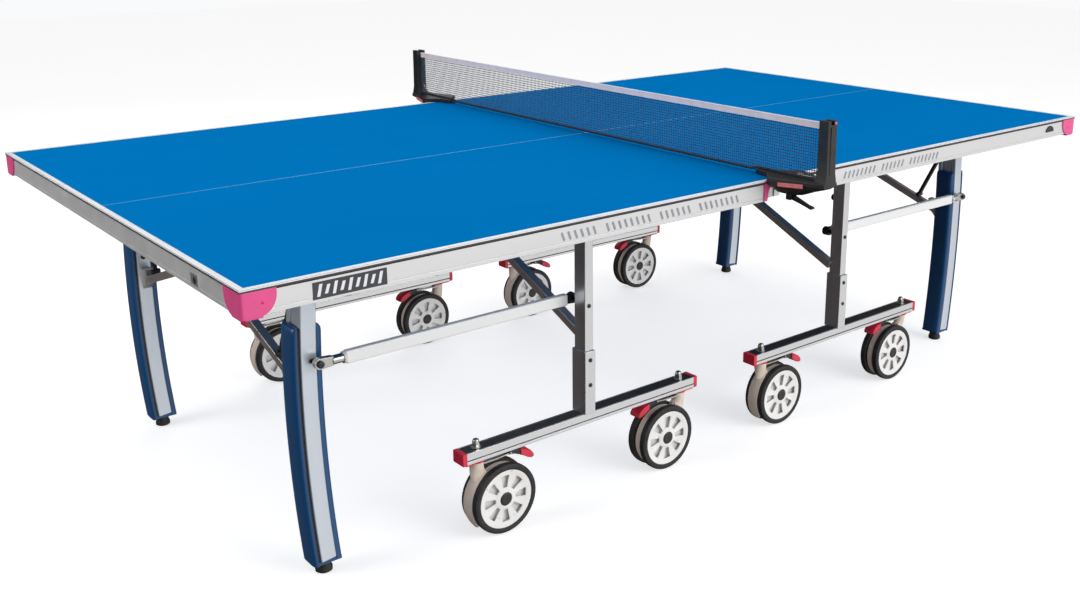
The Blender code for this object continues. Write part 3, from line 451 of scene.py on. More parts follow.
def make_top(half, side):
    body = f"top_{half}"
    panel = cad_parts[f"top_panel_{half}"].data
    panel.materials.clear()
    panel.materials.append(FINISH["playing_blue"])

    border, band, line, gasket, rails, under = (Shape(flip=(side, 1)) for _ in range(6))
    top = TOP_Z + PAINT
    trim = [
        (-PAINT, TRIM_Z), (-PAINT, top - 0.001), (0.0001, top - 0.0004), (0.0007, top),
        (LINE_WIDTH, top), (LINE_WIDTH, TOP_Z - 0.0002), (0.0006, TOP_Z - 0.0002), (0.0006, TRIM_Z),
    ]
    edge_loft(border, trim, loop=False)
    make_piece(f"border_line_{half}", border, body, "line_white")

    # The band below the white trim is near-black: partly the edge's own colour, partly a painted shadow
    # line along the gap above the apron.
    low = UNDER_Z - 0.0001
    edge_loft(band, [(-PAINT, low), (-PAINT, TRIM_Z), (0.002, TRIM_Z), (0.002, low)], loop=True)
    make_piece(f"edge_band_{half}", band, body, "edge_dark")

    line_y = CENTRE_LINE_WIDTH / 2
    line.box((SEAM_X + 0.0004, -line_y, TOP_Z - PAINT), (END_X - LINE_WIDTH, line_y, top))
    make_piece(f"centre_line_{half}", line, body, "centre_blue")

    low, high = 0.7495, UNDER_Z + 0.0001
    edge_loft(gasket, [(0.0036, low), (0.0036, high), (0.008, high), (0.008, low)], loop=True)
    make_piece(f"edge_gasket_{half}", gasket, body, "black_plastic")

    low, high = APRON_Z
    rail = [  # with a fine groove along its outer face
        (0.0, low), (0.0, 0.716), (0.0006, 0.7166), (0.0006, 0.7176), (0.0, 0.7182),
        (0.0, high), (RAIL_WIDTH, high), (RAIL_WIDTH, low),
    ]
    edge_loft(rails, rail, loop=False, x_low=NOTCH_X, x_high=APRON_X, y=APRON_Y)
    y = APRON_Y - RAIL_WIDTH
    rails.box((SEAM_X, -y, low), (SEAM_X + RAIL_WIDTH, y, high))
    for _, y_sign in SIDES:
        rails.box((SEAM_X, y_sign * (y - WELD), NOTCH_Z), (NOTCH_X + WELD, y_sign * APRON_Y, high))
    make_piece(f"apron_rails_{half}", rails, body, "apron_silver", bevel=0.001,
               replaces=(f"apron_frame_{half}",))

    # Cross rails over the hinges, a rib along the middle, and the hinge lugs with their pin heads.
    y += WELD
    for x in (POST_X, LEG_X):
        under.box((x - 0.02, -y, 0.732), (x + 0.02, y, 0.7542))
    under.box((SEAM_X + RAIL_WIDTH - WELD, -0.012, 0.733), (APRON_X - RAIL_WIDTH + WELD, 0.012, 0.753))
    for x, lug_y in ((POST_X, 0.553), (POST_X, 0.605), (LEG_X, 0.3)):
        outline = arc(x, HINGE_Z, 0.02, 180, 360, 12, tall=0.018)
        outline += [(x + 0.016, 0.733), (x - 0.016, 0.733)]
        for y_sign in (-1, 1):
            y = y_sign * lug_y
            under.prism(outline, "Y", y - 0.003, y + 0.003)
            under.dome((x, y + y_sign * 0.003, HINGE_Z), (0, y_sign, 0), 0.0085, 0.004, slot=1)
    make_piece(f"under_rails_{half}", under, body, ("frame_silver", "zinc"), bevel=0.001)

    for side_name, y_sign in SIDES:
        make_corner_cap(f"corner_cap_{side_name}_{half}", side, y_sign, body)
        make_seam_cap(f"seam_cap_{side_name}_{half}", side, y_sign, body)
    make_apron_trim(half, side, body)


CAP_TOP_Z = 0.7542
CAP_LOW_Z = 0.7055
CAP_ROUND_REACH = 0.036
CAP_ROUND_HEIGHT = 0.04
CAP_WALL = 0.0027
CAP_CORNER = 0.006
CAP_SPACING = 1.6


def cap_bottom(distance):
    """The height of a cap's lower edge, which rounds up in a quarter ellipse at its free end."""
    short = max(1.0 - distance / CAP_ROUND_REACH, 0.0)
    return CAP_LOW_Z + CAP_ROUND_HEIGHT * (1.0 - math.sqrt(1.0 - short * short))


def wall_ring(face, back, low):
    """A cap's cross-section: up its outer face from low to the top, and down its back."""
    return [(*face, low), (*face, CAP_TOP_Z), (*back, CAP_TOP_Z), (*back, low)]


def make_corner_cap(name, side, y_sign, body):
    """A bent wall round the apron's outer corner on a small floor, with a dark screw."""
    corner, outer = CAP_CORNER, END_X
    path = []  # x, y, the outward direction there, and the distance from the free end
    for step in range(15):
        along = (CAP_SIDE - corner) * (step / 14) ** CAP_SPACING
        path.append((outer - CAP_SIDE + along, EDGE_Y, 0.0, 1.0, along))
    for step in range(1, 6):
        angle = math.pi / 2 * (1 - step / 6)
        across, out = math.cos(angle), math.sin(angle)
        path.append((outer - corner + corner * across, EDGE_Y - corner + corner * out, across, out, 1.0))
    for step in range(13):
        along = (CAP_END - corner) * (1.0 - (1.0 - step / 12) ** CAP_SPACING)
        path.append((outer, EDGE_Y - corner - along, 1.0, 0.0, CAP_END - corner - along))
    shape = Shape(flip=(side, y_sign))
    shape.loft([
        wall_ring((x, y), (x - CAP_WALL * normal_x, y - CAP_WALL * normal_y), cap_bottom(distance))
        for x, y, normal_x, normal_y, distance in path
    ])
    floor = [  # measured inward from the table's corner
        (0.041, 0.001), (0.008, 0.001), (0.001, 0.008), (0.001, 0.044), (0.02, 0.044), (0.041, 0.02),
    ]
    shape.prism([(outer - x, EDGE_Y - y) for x, y in floor], "Z", 0.7031, 0.7083)
    shape.dome((outer - 0.041, EDGE_Y - 0.0006, 0.731), (0, 1, 0), 0.003, 0.0014, 16, slot=1)
    make_piece(name + "_shell", shape, body, ("corner_pink", "red_plastic"), bevel=0.001,
               replaces=(name,))


def make_seam_cap(name, side, y_sign, body):
    """A short cap over the apron's end beside the net."""
    rings = []
    for step in range(15):
        x = 0.057 - 0.0535 * step / 14
        drop = min(max((x - 0.034) / 0.011, 0.0), 1.0)
        low = 0.743 - 0.034 * (1.0 - math.sqrt(1.0 - drop * drop))
        rings.append(wall_ring((x, EDGE_Y), (x, EDGE_Y - CAP_WALL), low))
    shape = Shape(flip=(side, y_sign))
    shape.loft(rings)
    make_piece(name, shape, body, "corner_pink", bevel=0.001)


BADGE_X = (1.083, 1.234)
BADGE_Z = (0.7135, 0.7462)
BADGE_TICKS = 9
TICK_Z = 0.73
GREY_TICK_Z = (0.7215, 0.7395)
GREY_TICK_LEAN = 0.007
GREY_TICK_SIZE = (0.0052, 0.0005)
GREY_TICK_PITCH = 0.017
GREY_TICK_GAP = 0.02
LATCH_Y = 0.551
BUFFER_X = 1.229


def make_badge(name, side, body, faces):
    """A dark plain badge with slanted ticks."""
    shape = Shape()
    low, high = sorted((side * BADGE_X[0], side * BADGE_X[1]))
    shape.box((low, faces[0], BADGE_Z[0]), (high, faces[1], BADGE_Z[1]))
    margin, half_width, lean = 0.014, 0.0032, 0.0028
    for number in range(BADGE_TICKS):
        middle = low + margin + number * (high - low - 2 * margin) / (BADGE_TICKS - 1)
        height = 0.0085 if number % 2 else 0.0115
        outline = [
            (middle + across * half_width + up * lean, TICK_Z + up * height)
            for across, up in ((-1, -1), (1, -1), (1, 1), (-1, 1))
        ]
        shift = math.copysign(PAINT, faces[0])
        shape.prism(outline, "Y", faces[0] + shift, faces[1] + shift, slot=1)
    make_piece(name, shape, body, ("decal_dark", "line_white"))


def make_apron_trim(half, side, body):
    """The graphics on the long rails, the end latches and the side buffers."""
    near = side  # each half is the other turned half a turn, so what half a has near, half b has far
    for side_name, y_sign in SIDES:
        faces = sorted((y_sign * (APRON_Y - 0.0004), y_sign * (APRON_Y + PAINT)))
        if y_sign == near:
            make_badge(f"badge_{side_name}_{half}", side, body, faces)
        x_at, end = (0.145, 0.6) if y_sign == near else (0.245, 0.605)
        tick_y = faces[0] + y_sign * PAINT
        shape = Shape(flip=(side, 1))
        group = 0
        while x_at < end:
            for _ in range(6 if group % 2 else 8):
                foot = (x_at, tick_y, GREY_TICK_Z[0])
                head = (x_at + GREY_TICK_LEAN, tick_y, GREY_TICK_Z[1])
                shape.bar(foot, head, *GREY_TICK_SIZE, across=(0, 1, 0))
                x_at += GREY_TICK_PITCH
            x_at += GREY_TICK_GAP
            group += 1
        make_piece(f"pinstripe_{side_name}_{half}", shape, body, "decal_grey")

    # A latch in the end rail and a half-round buffer on the long rail.
    shape = Shape((0.0, side * LATCH_Y), (side, 1))
    shape.box((APRON_X - 0.0006, -0.017, 0.717), (APRON_X + 0.0014, 0.017, 0.74))
    shape.dome((APRON_X + 0.001, -0.002, 0.728), (1, 0, 0), 0.0072, 0.0018, slot=1)
    make_piece(f"end_latch_{half}", shape, body, ("frame_silver", "black_plastic"), bevel=0.0006)

    shape = Shape(flip=(side, -side))
    outline = arc(BUFFER_X, 0.727, 0.021, 0, 180, 16, tall=0.0185)
    shape.prism(outline, "Y", APRON_Y - 0.0005, APRON_Y + 0.0027)
    make_piece(f"side_buffer_{half}", shape, body, "black_plastic", bevel=0.0008)


# ------------------------ carriage

# Distances from the posts, negative towards the seam.
BEAM_X = -0.02
POST_BRACE_X = -0.012
BEAM_Z = (0.64, 0.67)
BOLT_Z = (0.358, 0.295)
KNOB_Z = 0.6
KNOB_PROFILE = ((0.0075, 0.0), (0.0092, 0.0015), (0.0094, 0.005), (0.008, 0.0072), (0.004, 0.0082))


def make_carriage(half, side):
    body = f"carriage_{half}"
    posts, braces, fittings, axle = (Shape((side * POST_X, 0.0), (side, 1)) for _ in range(4))
    for _, y_sign in SIDES:
        y = y_sign * POST_Y
        posts.box((-0.0125, y - 0.02, 0.2505), (0.0125, y + 0.02, 0.7125))
    posts.box((BEAM_X - 0.0125, -0.575, BEAM_Z[0]), (BEAM_X + 0.0125, 0.575, BEAM_Z[1]))
    make_piece(f"posts_{half}", posts, body, "frame_silver", bevel=0.0024, segments=3,
               replaces=(f"post_frame_{half}",))

    for _, y_sign in SIDES:
        ends = ((POST_BRACE_X, y_sign * y, z) for y, z in ((0.565, 0.405), (-0.01, 0.658)))
        braces.bar(*ends, 0.022, 0.022)
    make_piece(f"post_braces_{half}", braces, body, "brace_steel", bevel=0.0022, segments=3)

    for _, y_sign in SIDES:
        out, inward = (0, y_sign, 0), (0, -y_sign, 0)
        y = y_sign * POST_Y
        # Top plug, then bolts on the outer faces of post and sleeve.
        fittings.box((-0.0108, y - 0.0183, 0.7118), (0.0108, y + 0.0183, 0.715))
        fittings.dome((0, y + y_sign * 0.02, 0.492), out, 0.0052, 0.0026)
        for height in BOLT_Z:
            fittings.dome((0, y + y_sign * 0.025, height), out, 0.0052, 0.0026)
        # Link pin and its cap, on the inner face.
        inner = LINK_Y - 0.008
        fittings.rod((0, y_sign * (POST_Y - 0.019), LINK_Z), (0, y_sign * (inner - 0.0005), LINK_Z), 0.006)
        fittings.dome((0, y_sign * (inner - 0.0008), LINK_Z), inward, 0.0125, 0.0055)
        if side == y_sign:
            continue
        # A low knob on the inner face, above the link and clear of its swing.
        knob_y = POST_Y - 0.0195
        fittings.rod((0, y_sign * knob_y, KNOB_Z), (0, y_sign * (knob_y - 0.0045), KNOB_Z), 0.0055)
        fittings.turned(KNOB_PROFILE, (0, y_sign * (knob_y - 0.0038), KNOB_Z), inward, 20)
    make_piece(f"post_fittings_{half}", fittings, body, "black_plastic", bevel=0.0006)

    axle_end = POST_Y + 0.032
    axle.rod((0, -axle_end, HINGE_Z), (0, axle_end, HINGE_Z), 0.006)
    for _, y_sign in SIDES:
        head = (0, y_sign * (axle_end - 0.0006), HINGE_Z)
        axle.rod((0, y_sign * (axle_end - 0.002), HINGE_Z), head, 0.0108)
        axle.dome(head, (0, y_sign, 0), 0.0088, 0.0044)
    make_piece(f"fold_axle_rod_{half}", axle, body, "zinc", bevel=0.0004,
               replaces=(f"fold_axle_{half}",))

    for side_name, y_sign in SIDES:
        make_t_base(f"t_base_{side_name}_{half}", side, y_sign, body)
        for where, direction in PLACES:
            stem = (side * (POST_X + direction * STEM_OFFSET), y_sign * POST_Y)
            make_castor(f"{side_name}_{where}_{half}", stem, -side * direction)
        make_link(half, side, side_name, y_sign)


SLEEVE_OUTSIDE = (0.0155, 0.025)
SLEEVE_WALL = 0.0028
SLEEVE_Z = (0.2215, 0.38)
STEM_COLLAR = ((0.019, 0.0), (0.0205, 0.0012), (0.0205, 0.0042), (0.019, 0.0052))
# Washer, nut and thread end, each as (profile, height above the floor, sides).
STEM_NUT = (
    (((0.0125, 0.0), (0.0125, 0.0022)), 0.2218, 28),
    (((0.0092, 0.0), (0.0092, 0.01)), 0.2238, 6),
    (((0.008, 0.0), (0.0078, 0.0045), (0.006, 0.008), (0.003, 0.0096)), 0.2334, 20),
)


def make_t_base(name, side, y_sign, body):
    """The low bar with its dark strips, the post's sleeve, the red end caps and the stem nuts."""
    post = (side * POST_X, y_sign * POST_Y)
    bar, sleeve, caps, nuts = (Shape(post) for _ in range(4))
    for half_y, low, high, slot in (
        (0.02, 0.205, 0.222, 0), (0.02, 0.1945, 0.2022, 0), (0.0165, 0.199, 0.208, 1),
    ):
        bar.box((-BAR_END, -half_y, low), (BAR_END, half_y, high), slot)

    rings = []
    for shrink, heights in ((0.0, SLEEVE_Z), (SLEEVE_WALL, SLEEVE_Z[::-1])):
        x, y = (size - shrink for size in SLEEVE_OUTSIDE)
        rings += [[(-x, -y, z), (x, -y, z), (x, y, z), (-x, y, z)] for z in heights]
    sleeve.loft(rings, loop=True)

    for end in (-1, 1):
        bar.box((end * 0.0157, -0.015, 0.2212), (end * (BAR_END - 0.0045), 0.015, 0.2223), slot=1)
        caps.box((end * (BAR_END - 0.004), -0.0208, 0.1936), (end * (BAR_END + 0.008), 0.0208, 0.2228))
        caps.turned(STEM_COLLAR, (end * STEM_OFFSET, 0, 0.1889), (0, 0, 1))
        start, stop = end * (STEM_OFFSET + 0.004), end * (BAR_END - 0.002)
        caps.box((start, -0.0165, 0.1892), (stop, 0.0165, 0.1942))
        for profile, low, sides in STEM_NUT:
            nuts.turned(profile, (end * STEM_OFFSET, 0, low), (0, 0, 1), sides)
    make_piece(name + "_bar", bar, body, ("bar_silver", "black_plastic"), bevel=0.0016, segments=3,
               replaces=(name,))
    make_piece(name + "_sleeve", sleeve, body, "frame_silver", bevel=0.0012)
    make_piece(name + "_end_caps", caps, body, "red_plastic", bevel=0.0022, segments=3)
    make_piece(name + "_nuts", nuts, body, "zinc", bevel=0.0006)


# ------------------------ castors

HUB_WINDOWS = 8
# Degrees from the middle of a window, then (radius, distance from the castor's middle) across the disc.
HUB_STEPS = (-22.5, -16.5, -11.0, -5.5, 0.0, 5.5, 11.0, 16.5)
HUB_PROFILE = (
    (0.014, 0.0285), (0.0225, 0.0285), (0.0275, 0.0262), (0.042, 0.0262), (0.057, 0.0268),
    (0.064, 0.029), (0.0708, 0.029),
)
HUB_THICKNESS = 0.003
# (radius, distance from the castor's middle) of each turned part of a wheel.
TYRE_PROFILE = (
    (0.0705, 0.0125), (0.076, 0.0118), (0.0812, 0.0122), (0.0837, 0.014), (0.0845, 0.017),
    (0.0845, 0.0255), (0.0837, 0.0286), (0.0812, 0.0304), (0.076, 0.0309), (0.0725, 0.0306),
    (0.0705, 0.0296),
)
BARREL_PROFILE = ((0.0706, 0.0128), (0.0706, 0.028), (0.067, 0.028), (0.067, 0.0128))
BACK_PROFILE = ((0.016, 0.013), (0.068, 0.013), (0.068, 0.0165), (0.016, 0.0165))
BOSS_PROFILE = ((0.016, 0.0128), (0.0232, 0.0128), (0.0232, 0.0275), (0.016, 0.0275))
CAP_PROFILE = (
    (0.0162, 0.015), (0.0162, 0.029), (0.015, 0.0304), (0.0115, 0.0312), (0.006, 0.0309),
    (0.002, 0.03),
)
DISC_PROFILE = (
    (0.0075, -0.01), (0.0745, -0.01), (0.0775, -0.008), (0.078, 0.0),
    (0.0775, 0.008), (0.0745, 0.01), (0.0075, 0.01),
)
# Side views as (distance from the stem, height), and (across, size) of the pad's sections.
ARM_VIEW = (
    (-0.004, 0.181), (0.05, 0.181), (0.083, 0.184), (0.083, 0.1866), (0.05, 0.1842), (-0.004, 0.1842),
)
PAD_VIEW = (
    (0.112, 0.1884), (0.128, 0.1838), (0.142, 0.176), (0.1495, 0.166), (0.1505, 0.159),
    (0.144, 0.1568), (0.134, 0.16), (0.118, 0.17), (0.112, 0.173),
)
PAD_SIZES = (
    (-0.017, 0.84), (-0.0155, 0.95), (-0.012, 1.0), (0.012, 1.0), (0.0155, 0.95), (0.017, 0.84),
)
PEDAL_ROOT_VIEW = (
    (0.079, 0.1906), (0.093, 0.1908), (0.115, 0.1874), (0.115, 0.1722), (0.096, 0.1802),
    (0.079, 0.1828),
)
# (radius, share of the half-width) across the fender.
FENDER_SECTION = (
    (0.0775, -0.85), (0.0875, -1.0), (0.0892, -0.55), (0.0896, 0.0),
    (0.0892, 0.55), (0.0875, 1.0), (0.0775, 0.85),
)
# Height, back, front and half-width of the neck between fender and stem.
NECK_RINGS = (
    (0.142, -0.015, 0.028, 0.0098), (0.156, -0.017, 0.0235, 0.0106), (0.167, -0.0168, 0.019, 0.014),
    (0.174, -0.0165, 0.017, 0.016), (0.1883, -0.0165, 0.0165, 0.0165),
)


def hub_disc(shape, centre, out):
    """A wheel disc with eight windows and a shallow dish, its outer face towards out along Y."""
    pitch = 360.0 / HUB_WINDOWS
    turns = [math.radians(pitch * window + step) for window in range(HUB_WINDOWS) for step in HUB_STEPS]
    around = [(math.cos(turn), math.sin(turn)) for turn in turns]
    layers = [
        [
            [shape.vertex(centre + Vector((r * x, out * (y - inward), r * z))) for x, z in around]
            for r, y in HUB_PROFILE
        ]
        for inward in (0.0, HUB_THICKNESS)
    ]
    count, last = len(around), len(HUB_PROFILE) - 1

    def is_window(ring, step):
        return ring in (2, 3) and step % len(HUB_STEPS) in (2, 3, 4, 5)

    for ring in range(last):
        for step in range(count):
            after = (step + 1) % count
            if is_window(ring, step):
                continue
            for layer in layers:
                lower, upper = layer[ring], layer[ring + 1]
                shape.mesh.faces.new((lower[step], lower[after], upper[after], upper[step]))
            walls = (
                (ring == 0 or is_window(ring - 1, step), (ring, step), (ring, after)),
                (ring + 1 == last or is_window(ring + 1, step), (ring + 1, step), (ring + 1, after)),
                (is_window(ring, (step - 1) % count), (ring, step), (ring + 1, step)),
                (is_window(ring, after), (ring, after), (ring + 1, after)),
            )
            for needed, (ring_1, step_1), (ring_2, step_2) in walls:
                if needed:
                    shape.mesh.faces.new((
                        layers[0][ring_1][step_1], layers[0][ring_2][step_2],
                        layers[1][ring_2][step_2], layers[1][ring_1][step_1],
                    ))


def make_castor(label, stem, toward):
    """One castor, built with X from its stem towards its trailing wheels."""
    axle = Vector((TRAIL, 0.0, WHEEL_R))
    wheels, swivel = f"wheels_{label}", f"swivel_{label}"
    tyre, hub, caps, housing, arm, pedal = (Shape(stem, (toward, 1)) for _ in range(6))

    for out in (-1, 1):
        tyre.turned([(r, out * h) for r, h in TYRE_PROFILE], axle, (0, -1, 0), 56, loop=True)
        hub_disc(hub, axle, out)
        # The back disc behind the windows is grey, not white: painted shade in the window recesses.
        parts = ((BARREL_PROFILE, 48, 0), (BACK_PROFILE, 48, 1), (BOSS_PROFILE, 32, 0))
        for profile, sides, slot in parts:
            hub.turned([(r, out * h) for r, h in profile], axle, (0, 1, 0), sides, slot, loop=True)
        caps.turned([(r, out * h) for r, h in CAP_PROFILE], axle, (0, 1, 0), 28)
    make_piece(f"tyres_{label}", tyre, wheels, "tyre_black", replaces=(f"castor_wheels_{label}",))
    make_piece(f"hubs_{label}", hub, wheels, ("hub_white", "hub_grey"), bevel=0.0005, segments=1)
    make_piece(f"hub_caps_{label}", caps, wheels, "black_plastic")

    housing.turned(DISC_PROFILE, axle, (0, 1, 0), 56, loop=True)
    fender = []
    for step in range(17):
        angle = math.radians(118.0 + 102.0 * step / 16)
        ease = min(step, 16 - step, 3) / 3
        width = 0.011 + 0.005 * math.sin(math.pi / 2 * ease)
        fender.append([
            axle + Vector((radius * math.cos(angle), y * width, radius * math.sin(angle)))
            for radius, y in FENDER_SECTION
        ])
    housing.loft(fender)
    neck = []
    for height, back, front, half_width in NECK_RINGS:
        middle, reach = (back + front) / 2, (front - back) / 2
        neck.append([(x, y, height) for x, y in arc(middle, 0, reach, 0, 337.5, 15, tall=half_width)])
    housing.loft(neck)
    make_piece(f"housing_{label}", housing, swivel, "cream_plastic",
               replaces=(f"castor_housing_{label}",))

    arm.prism(ARM_VIEW, "Y", -0.0135, 0.0135)
    arm.rod((0.085, -0.0165, 0.1868), (0.085, 0.0165, 0.1868), 0.0026, 14)
    make_piece(f"castor_arm_{label}", arm, swivel, "zinc", bevel=0.0005)

    # The pad shrinks towards its sides, about its middle.
    pad = []
    middle_x, middle_z = 0.13, 0.174
    for across, size in PAD_SIZES:
        length = 0.5 + 0.5 * size
        pad.append([
            (middle_x + (x - middle_x) * length, across, middle_z + (z - middle_z) * size)
            for x, z in PAD_VIEW
        ])
    pedal.loft(pad)
    # The pedal's root by the arm is black: partly a dark root, partly painted shadow cast by the bar
    # above.
    pedal.prism(PEDAL_ROOT_VIEW, "Y", -0.0135, 0.0135, slot=1)
    make_piece(f"pedal_{label}_pad", pedal, f"pedal_{label}", ("red_plastic", "black_plastic"),
               bevel=0.001, replaces=(f"brake_pedal_{label}",))


# ------------------------ legs and links

def leg_point(offset, z):
    """A point on the leg's arc at height z, moved outward from the arc's centre by offset."""
    turn = math.asin((z - ARC_Z) / ARC_RADIUS)
    radius = ARC_RADIUS + offset
    return ARC_X - ARC_RADIUS + radius * math.cos(turn), ARC_Z + radius * math.sin(turn)


def arc_heights(low, high, steps):
    return [low + (high - low) * step / steps for step in range(steps + 1)]


def leg_outline(reach, low, high, steps, crown=()):
    """A strip of the leg's side view, reach to either side of the arc, under an optional crown."""
    heights = arc_heights(low, high, steps)
    back = [leg_point(-reach, z) for z in reversed(heights)]
    return [leg_point(reach, z) for z in heights] + [*crown] + back


def leg_loft(shape, stations):
    """Skins rings of (offset, across) points, each ring at its own height on the leg's arc."""
    rings = []
    for station, section in stations:
        points = [(leg_point(offset, station), across) for offset, across in section]
        rings.append([(x, across, z) for (x, z), across in points])
    shape.loft(rings)


# Half of a leg cover's section: distance across the leg, and share of the rise over its root.
COVER_SECTION = (
    (0.03, 0.0), (0.03, 0.36), (0.0285, 0.66), (0.025, 0.88), (0.0195, 0.975), (0.01, 1.0),
)
COVER_REACH = 0.0335
COVER_ROOTS = ((1, 0.0232), (-1, 0.0186))
GROOVE_SECTION = ((0.017, -0.0268), (0.0236, -0.0268), (0.0236, 0.0268), (0.017, 0.0268))
FOOT_PROFILE = ((0.016, 0.0), (0.0188, 0.002), (0.019, 0.009), (0.0165, 0.015), (0.015, 0.0262))


def make_leg(half, side, side_name, y_sign):
    body, tag = f"leg_{half}", f"{side_name}_{half}"
    rails, cover, core, foot = (Shape((0.0, y_sign * LEG_Y), (side, y_sign)) for _ in range(4))
    outline = leg_outline(0.018, LEG_BOTTOM_Z, HINGE_Z, 26, crown=arc(LEG_X, HINGE_Z, 0.018, 15, 165, 10))
    for edge in (-1, 1):
        rails.prism(outline, "Y", edge * LEG_EDGE, edge * (LEG_EDGE - 0.0155))
    rails.prism(leg_outline(0.015, COVER_TOP_Z - 0.02, 0.67, 6), "Y", -0.0145, 0.0145)

    stations = [(z, 1.0) for z in arc_heights(0.032, COVER_TOP_Z - 0.014, 22)]
    stations += [(COVER_TOP_Z - 0.007, 0.93), (COVER_TOP_Z - 0.002, 0.7), (COVER_TOP_Z, 0.4)]
    section = COVER_SECTION + tuple((-across, rise) for across, rise in reversed(COVER_SECTION))
    for facing, root in COVER_ROOTS:
        rings = []
        for z, fullness in stations:
            height, width = (COVER_REACH - root) * fullness, 0.94 + 0.06 * fullness
            ring = [(facing * (root + height * rise), across * width) for across, rise in section]
            rings.append((z, ring))
        leg_loft(cover, rings)
    foot_x = leg_point(0.0, 0.0265)[0]
    cover.box((foot_x - 0.03, -0.0285, 0.03), (foot_x + 0.03, 0.0285, 0.0376))

    # A black strip between rails and cover, partly black trim and partly painted shade in the groove
    # there, then a dark web inside, and the bolt heads.
    leg_loft(core, [(z, GROOVE_SECTION) for z in arc_heights(0.033, COVER_TOP_Z - 0.006, 22)])
    core.prism(leg_outline(0.016, 0.04, COVER_TOP_Z - 0.01, 22), "Y", -0.018, 0.018)
    bolt_y = LEG_EDGE - 0.0002
    core.dome((1.131, bolt_y, LINK_Z), (0, 1, 0), 0.005, 0.0022)
    core.dome((leg_point(0.0, LINK_Z)[0], -bolt_y, LINK_Z), (0, -1, 0), 0.007, 0.004)
    make_piece(f"cover_{tag}", cover, body, "cover_blue", replaces=(f"leg_cover_{tag}",))
    make_piece(f"leg_rails_{tag}", rails, body, "leg_silver", bevel=0.0035, segments=4)
    make_piece(f"leg_core_{tag}", core, body, "black_plastic", bevel=0.0008)

    foot.turned(FOOT_PROFILE, (foot_x, 0, 0), (0, 0, 1))
    foot.rod((foot_x, 0, 0.0255), (foot_x, 0, 0.07), 0.0048, 16)
    make_piece(f"foot_{tag}_pad", foot, f"foot_{tag}", "foot_black", replaces=(f"levelling_foot_{tag}",))


LEG_BRACE_X = 1.1325
# (across the table, height) of a strut's two ends, and of the plate where a brace meets its leg.
STRUT = ((0.372, 0.468), (0.452, 0.628))
PLATE = ((0.452, 0.408), (0.452, 0.464), (0.418, 0.47), (0.424, 0.436))


def make_leg_cross(half, side):
    """The hinge tube, the long braces with their brackets, and the short struts."""
    body, x = f"leg_{half}", LEG_BRACE_X
    tube, braces, fittings = (Shape(flip=(side, 1)) for _ in range(3))
    tube_end = LEG_Y + LEG_EDGE - 0.0015
    tube.rod((LEG_X, -tube_end, HINGE_Z), (LEG_X, tube_end, HINGE_Z), 0.0125, 28)
    for _, y_sign in SIDES:
        braces.bar((x, y_sign * 0.46, 0.427), (x, -y_sign * 0.006, 0.588), 0.02, 0.02)
        fittings.bar(*((x, y_sign * y, z) for y, z in STRUT), 0.0105, 0.0105)
        fittings.rod((x - 0.011, y_sign * 0.375, 0.474), (x + 0.011, y_sign * 0.375, 0.474), 0.007)
        fittings.prism([(y_sign * y, z) for y, z in PLATE], "X", x - 0.0116, x + 0.0116, slot=1)
        # The link's pin on the leg.
        start, end = LEG_Y + LEG_EDGE - 0.003, LINK_Y + 0.0105
        fittings.rod((LEG_X, y_sign * start, LINK_Z), (LEG_X, y_sign * end, LINK_Z), 0.006)
        fittings.dome((LEG_X, y_sign * (end - 0.001), LINK_Z), (0, y_sign, 0), 0.0078, 0.0035)
    braces.bar((x, 0.0, 0.58), (x, 0.0, 0.688), 0.02, 0.02)
    make_piece(f"leg_tube_{half}", tube, body, "frame_silver", bevel=0.001,
               replaces=(f"leg_frame_{half}",))
    make_piece(f"leg_braces_{half}", braces, body, "brace_steel", bevel=0.002, segments=3)
    make_piece(f"leg_fittings_{half}", fittings, body, ("black_plastic", "brace_steel"), bevel=0.0008)
    for side_name, y_sign in SIDES:
        make_leg(half, side, side_name, y_sign)


LINK_EYE = 0.0122
# Where each eye's pin and root are, the angle at which it starts, its half thickness and its slot.
LINK_EYES = ((POST_X, POST_X + 0.026, 90, 0.0066, 0), (LEG_X, LEG_X - 0.03, -90, 0.007, 1))


def make_link(half, side, side_name, y_sign):
    name = f"link_{side_name}_{half}"
    bar, ends = (Shape((0.0, y_sign * LINK_Y), (side, 1)) for _ in range(2))
    bar.box((POST_X + 0.02, -0.008, LINK_Z - 0.014), (LEG_X - 0.058, 0.008, LINK_Z + 0.014))
    make_piece(name + "_bar", bar, name, "link_white", bevel=0.0035, segments=4,
               replaces=(f"link_bar_{side_name}_{half}",))

    # A plastic eye at the post, then a ring, a neck and a zinc eye at the leg.
    for pin_x, root_x, first, half_y, slot in LINK_EYES:
        rise = math.copysign(0.01, first)
        eye = arc(pin_x, LINK_Z, LINK_EYE, first, first + 180, 8)
        ends.prism([(root_x, LINK_Z + rise), *eye, (root_x, LINK_Z - rise)], "Y", -half_y, half_y, slot)
    for start, end, radius, slot in ((0.06, 0.053, 0.0128, 2), (0.054, 0.028, 0.0098, 1)):
        ends.rod((LEG_X - start, 0, LINK_Z), (LEG_X - end, 0, LINK_Z), radius, slot=slot)
    make_piece(name + "_ends", ends, name, ("black_plastic", "zinc", "hub_grey"), bevel=0.001)


# ------------------------ net

NET_LENGTH = 1.77
NET_LOW_Z = 0.7672
NET_HIGH_Z = 0.9115
TAPE_HEIGHT = 0.015
MESH_PITCH = 0.007
STRAND = 0.0017
STRAND_JITTER = 0.0004
END_GAP = 0.0004
# Where the net's lower edge is lifted over the clamps, and how high.
CLAMP_Y = 0.688
CLAMP_TOP_Z = 0.7735
CORD_LIFT_Y = 0.665


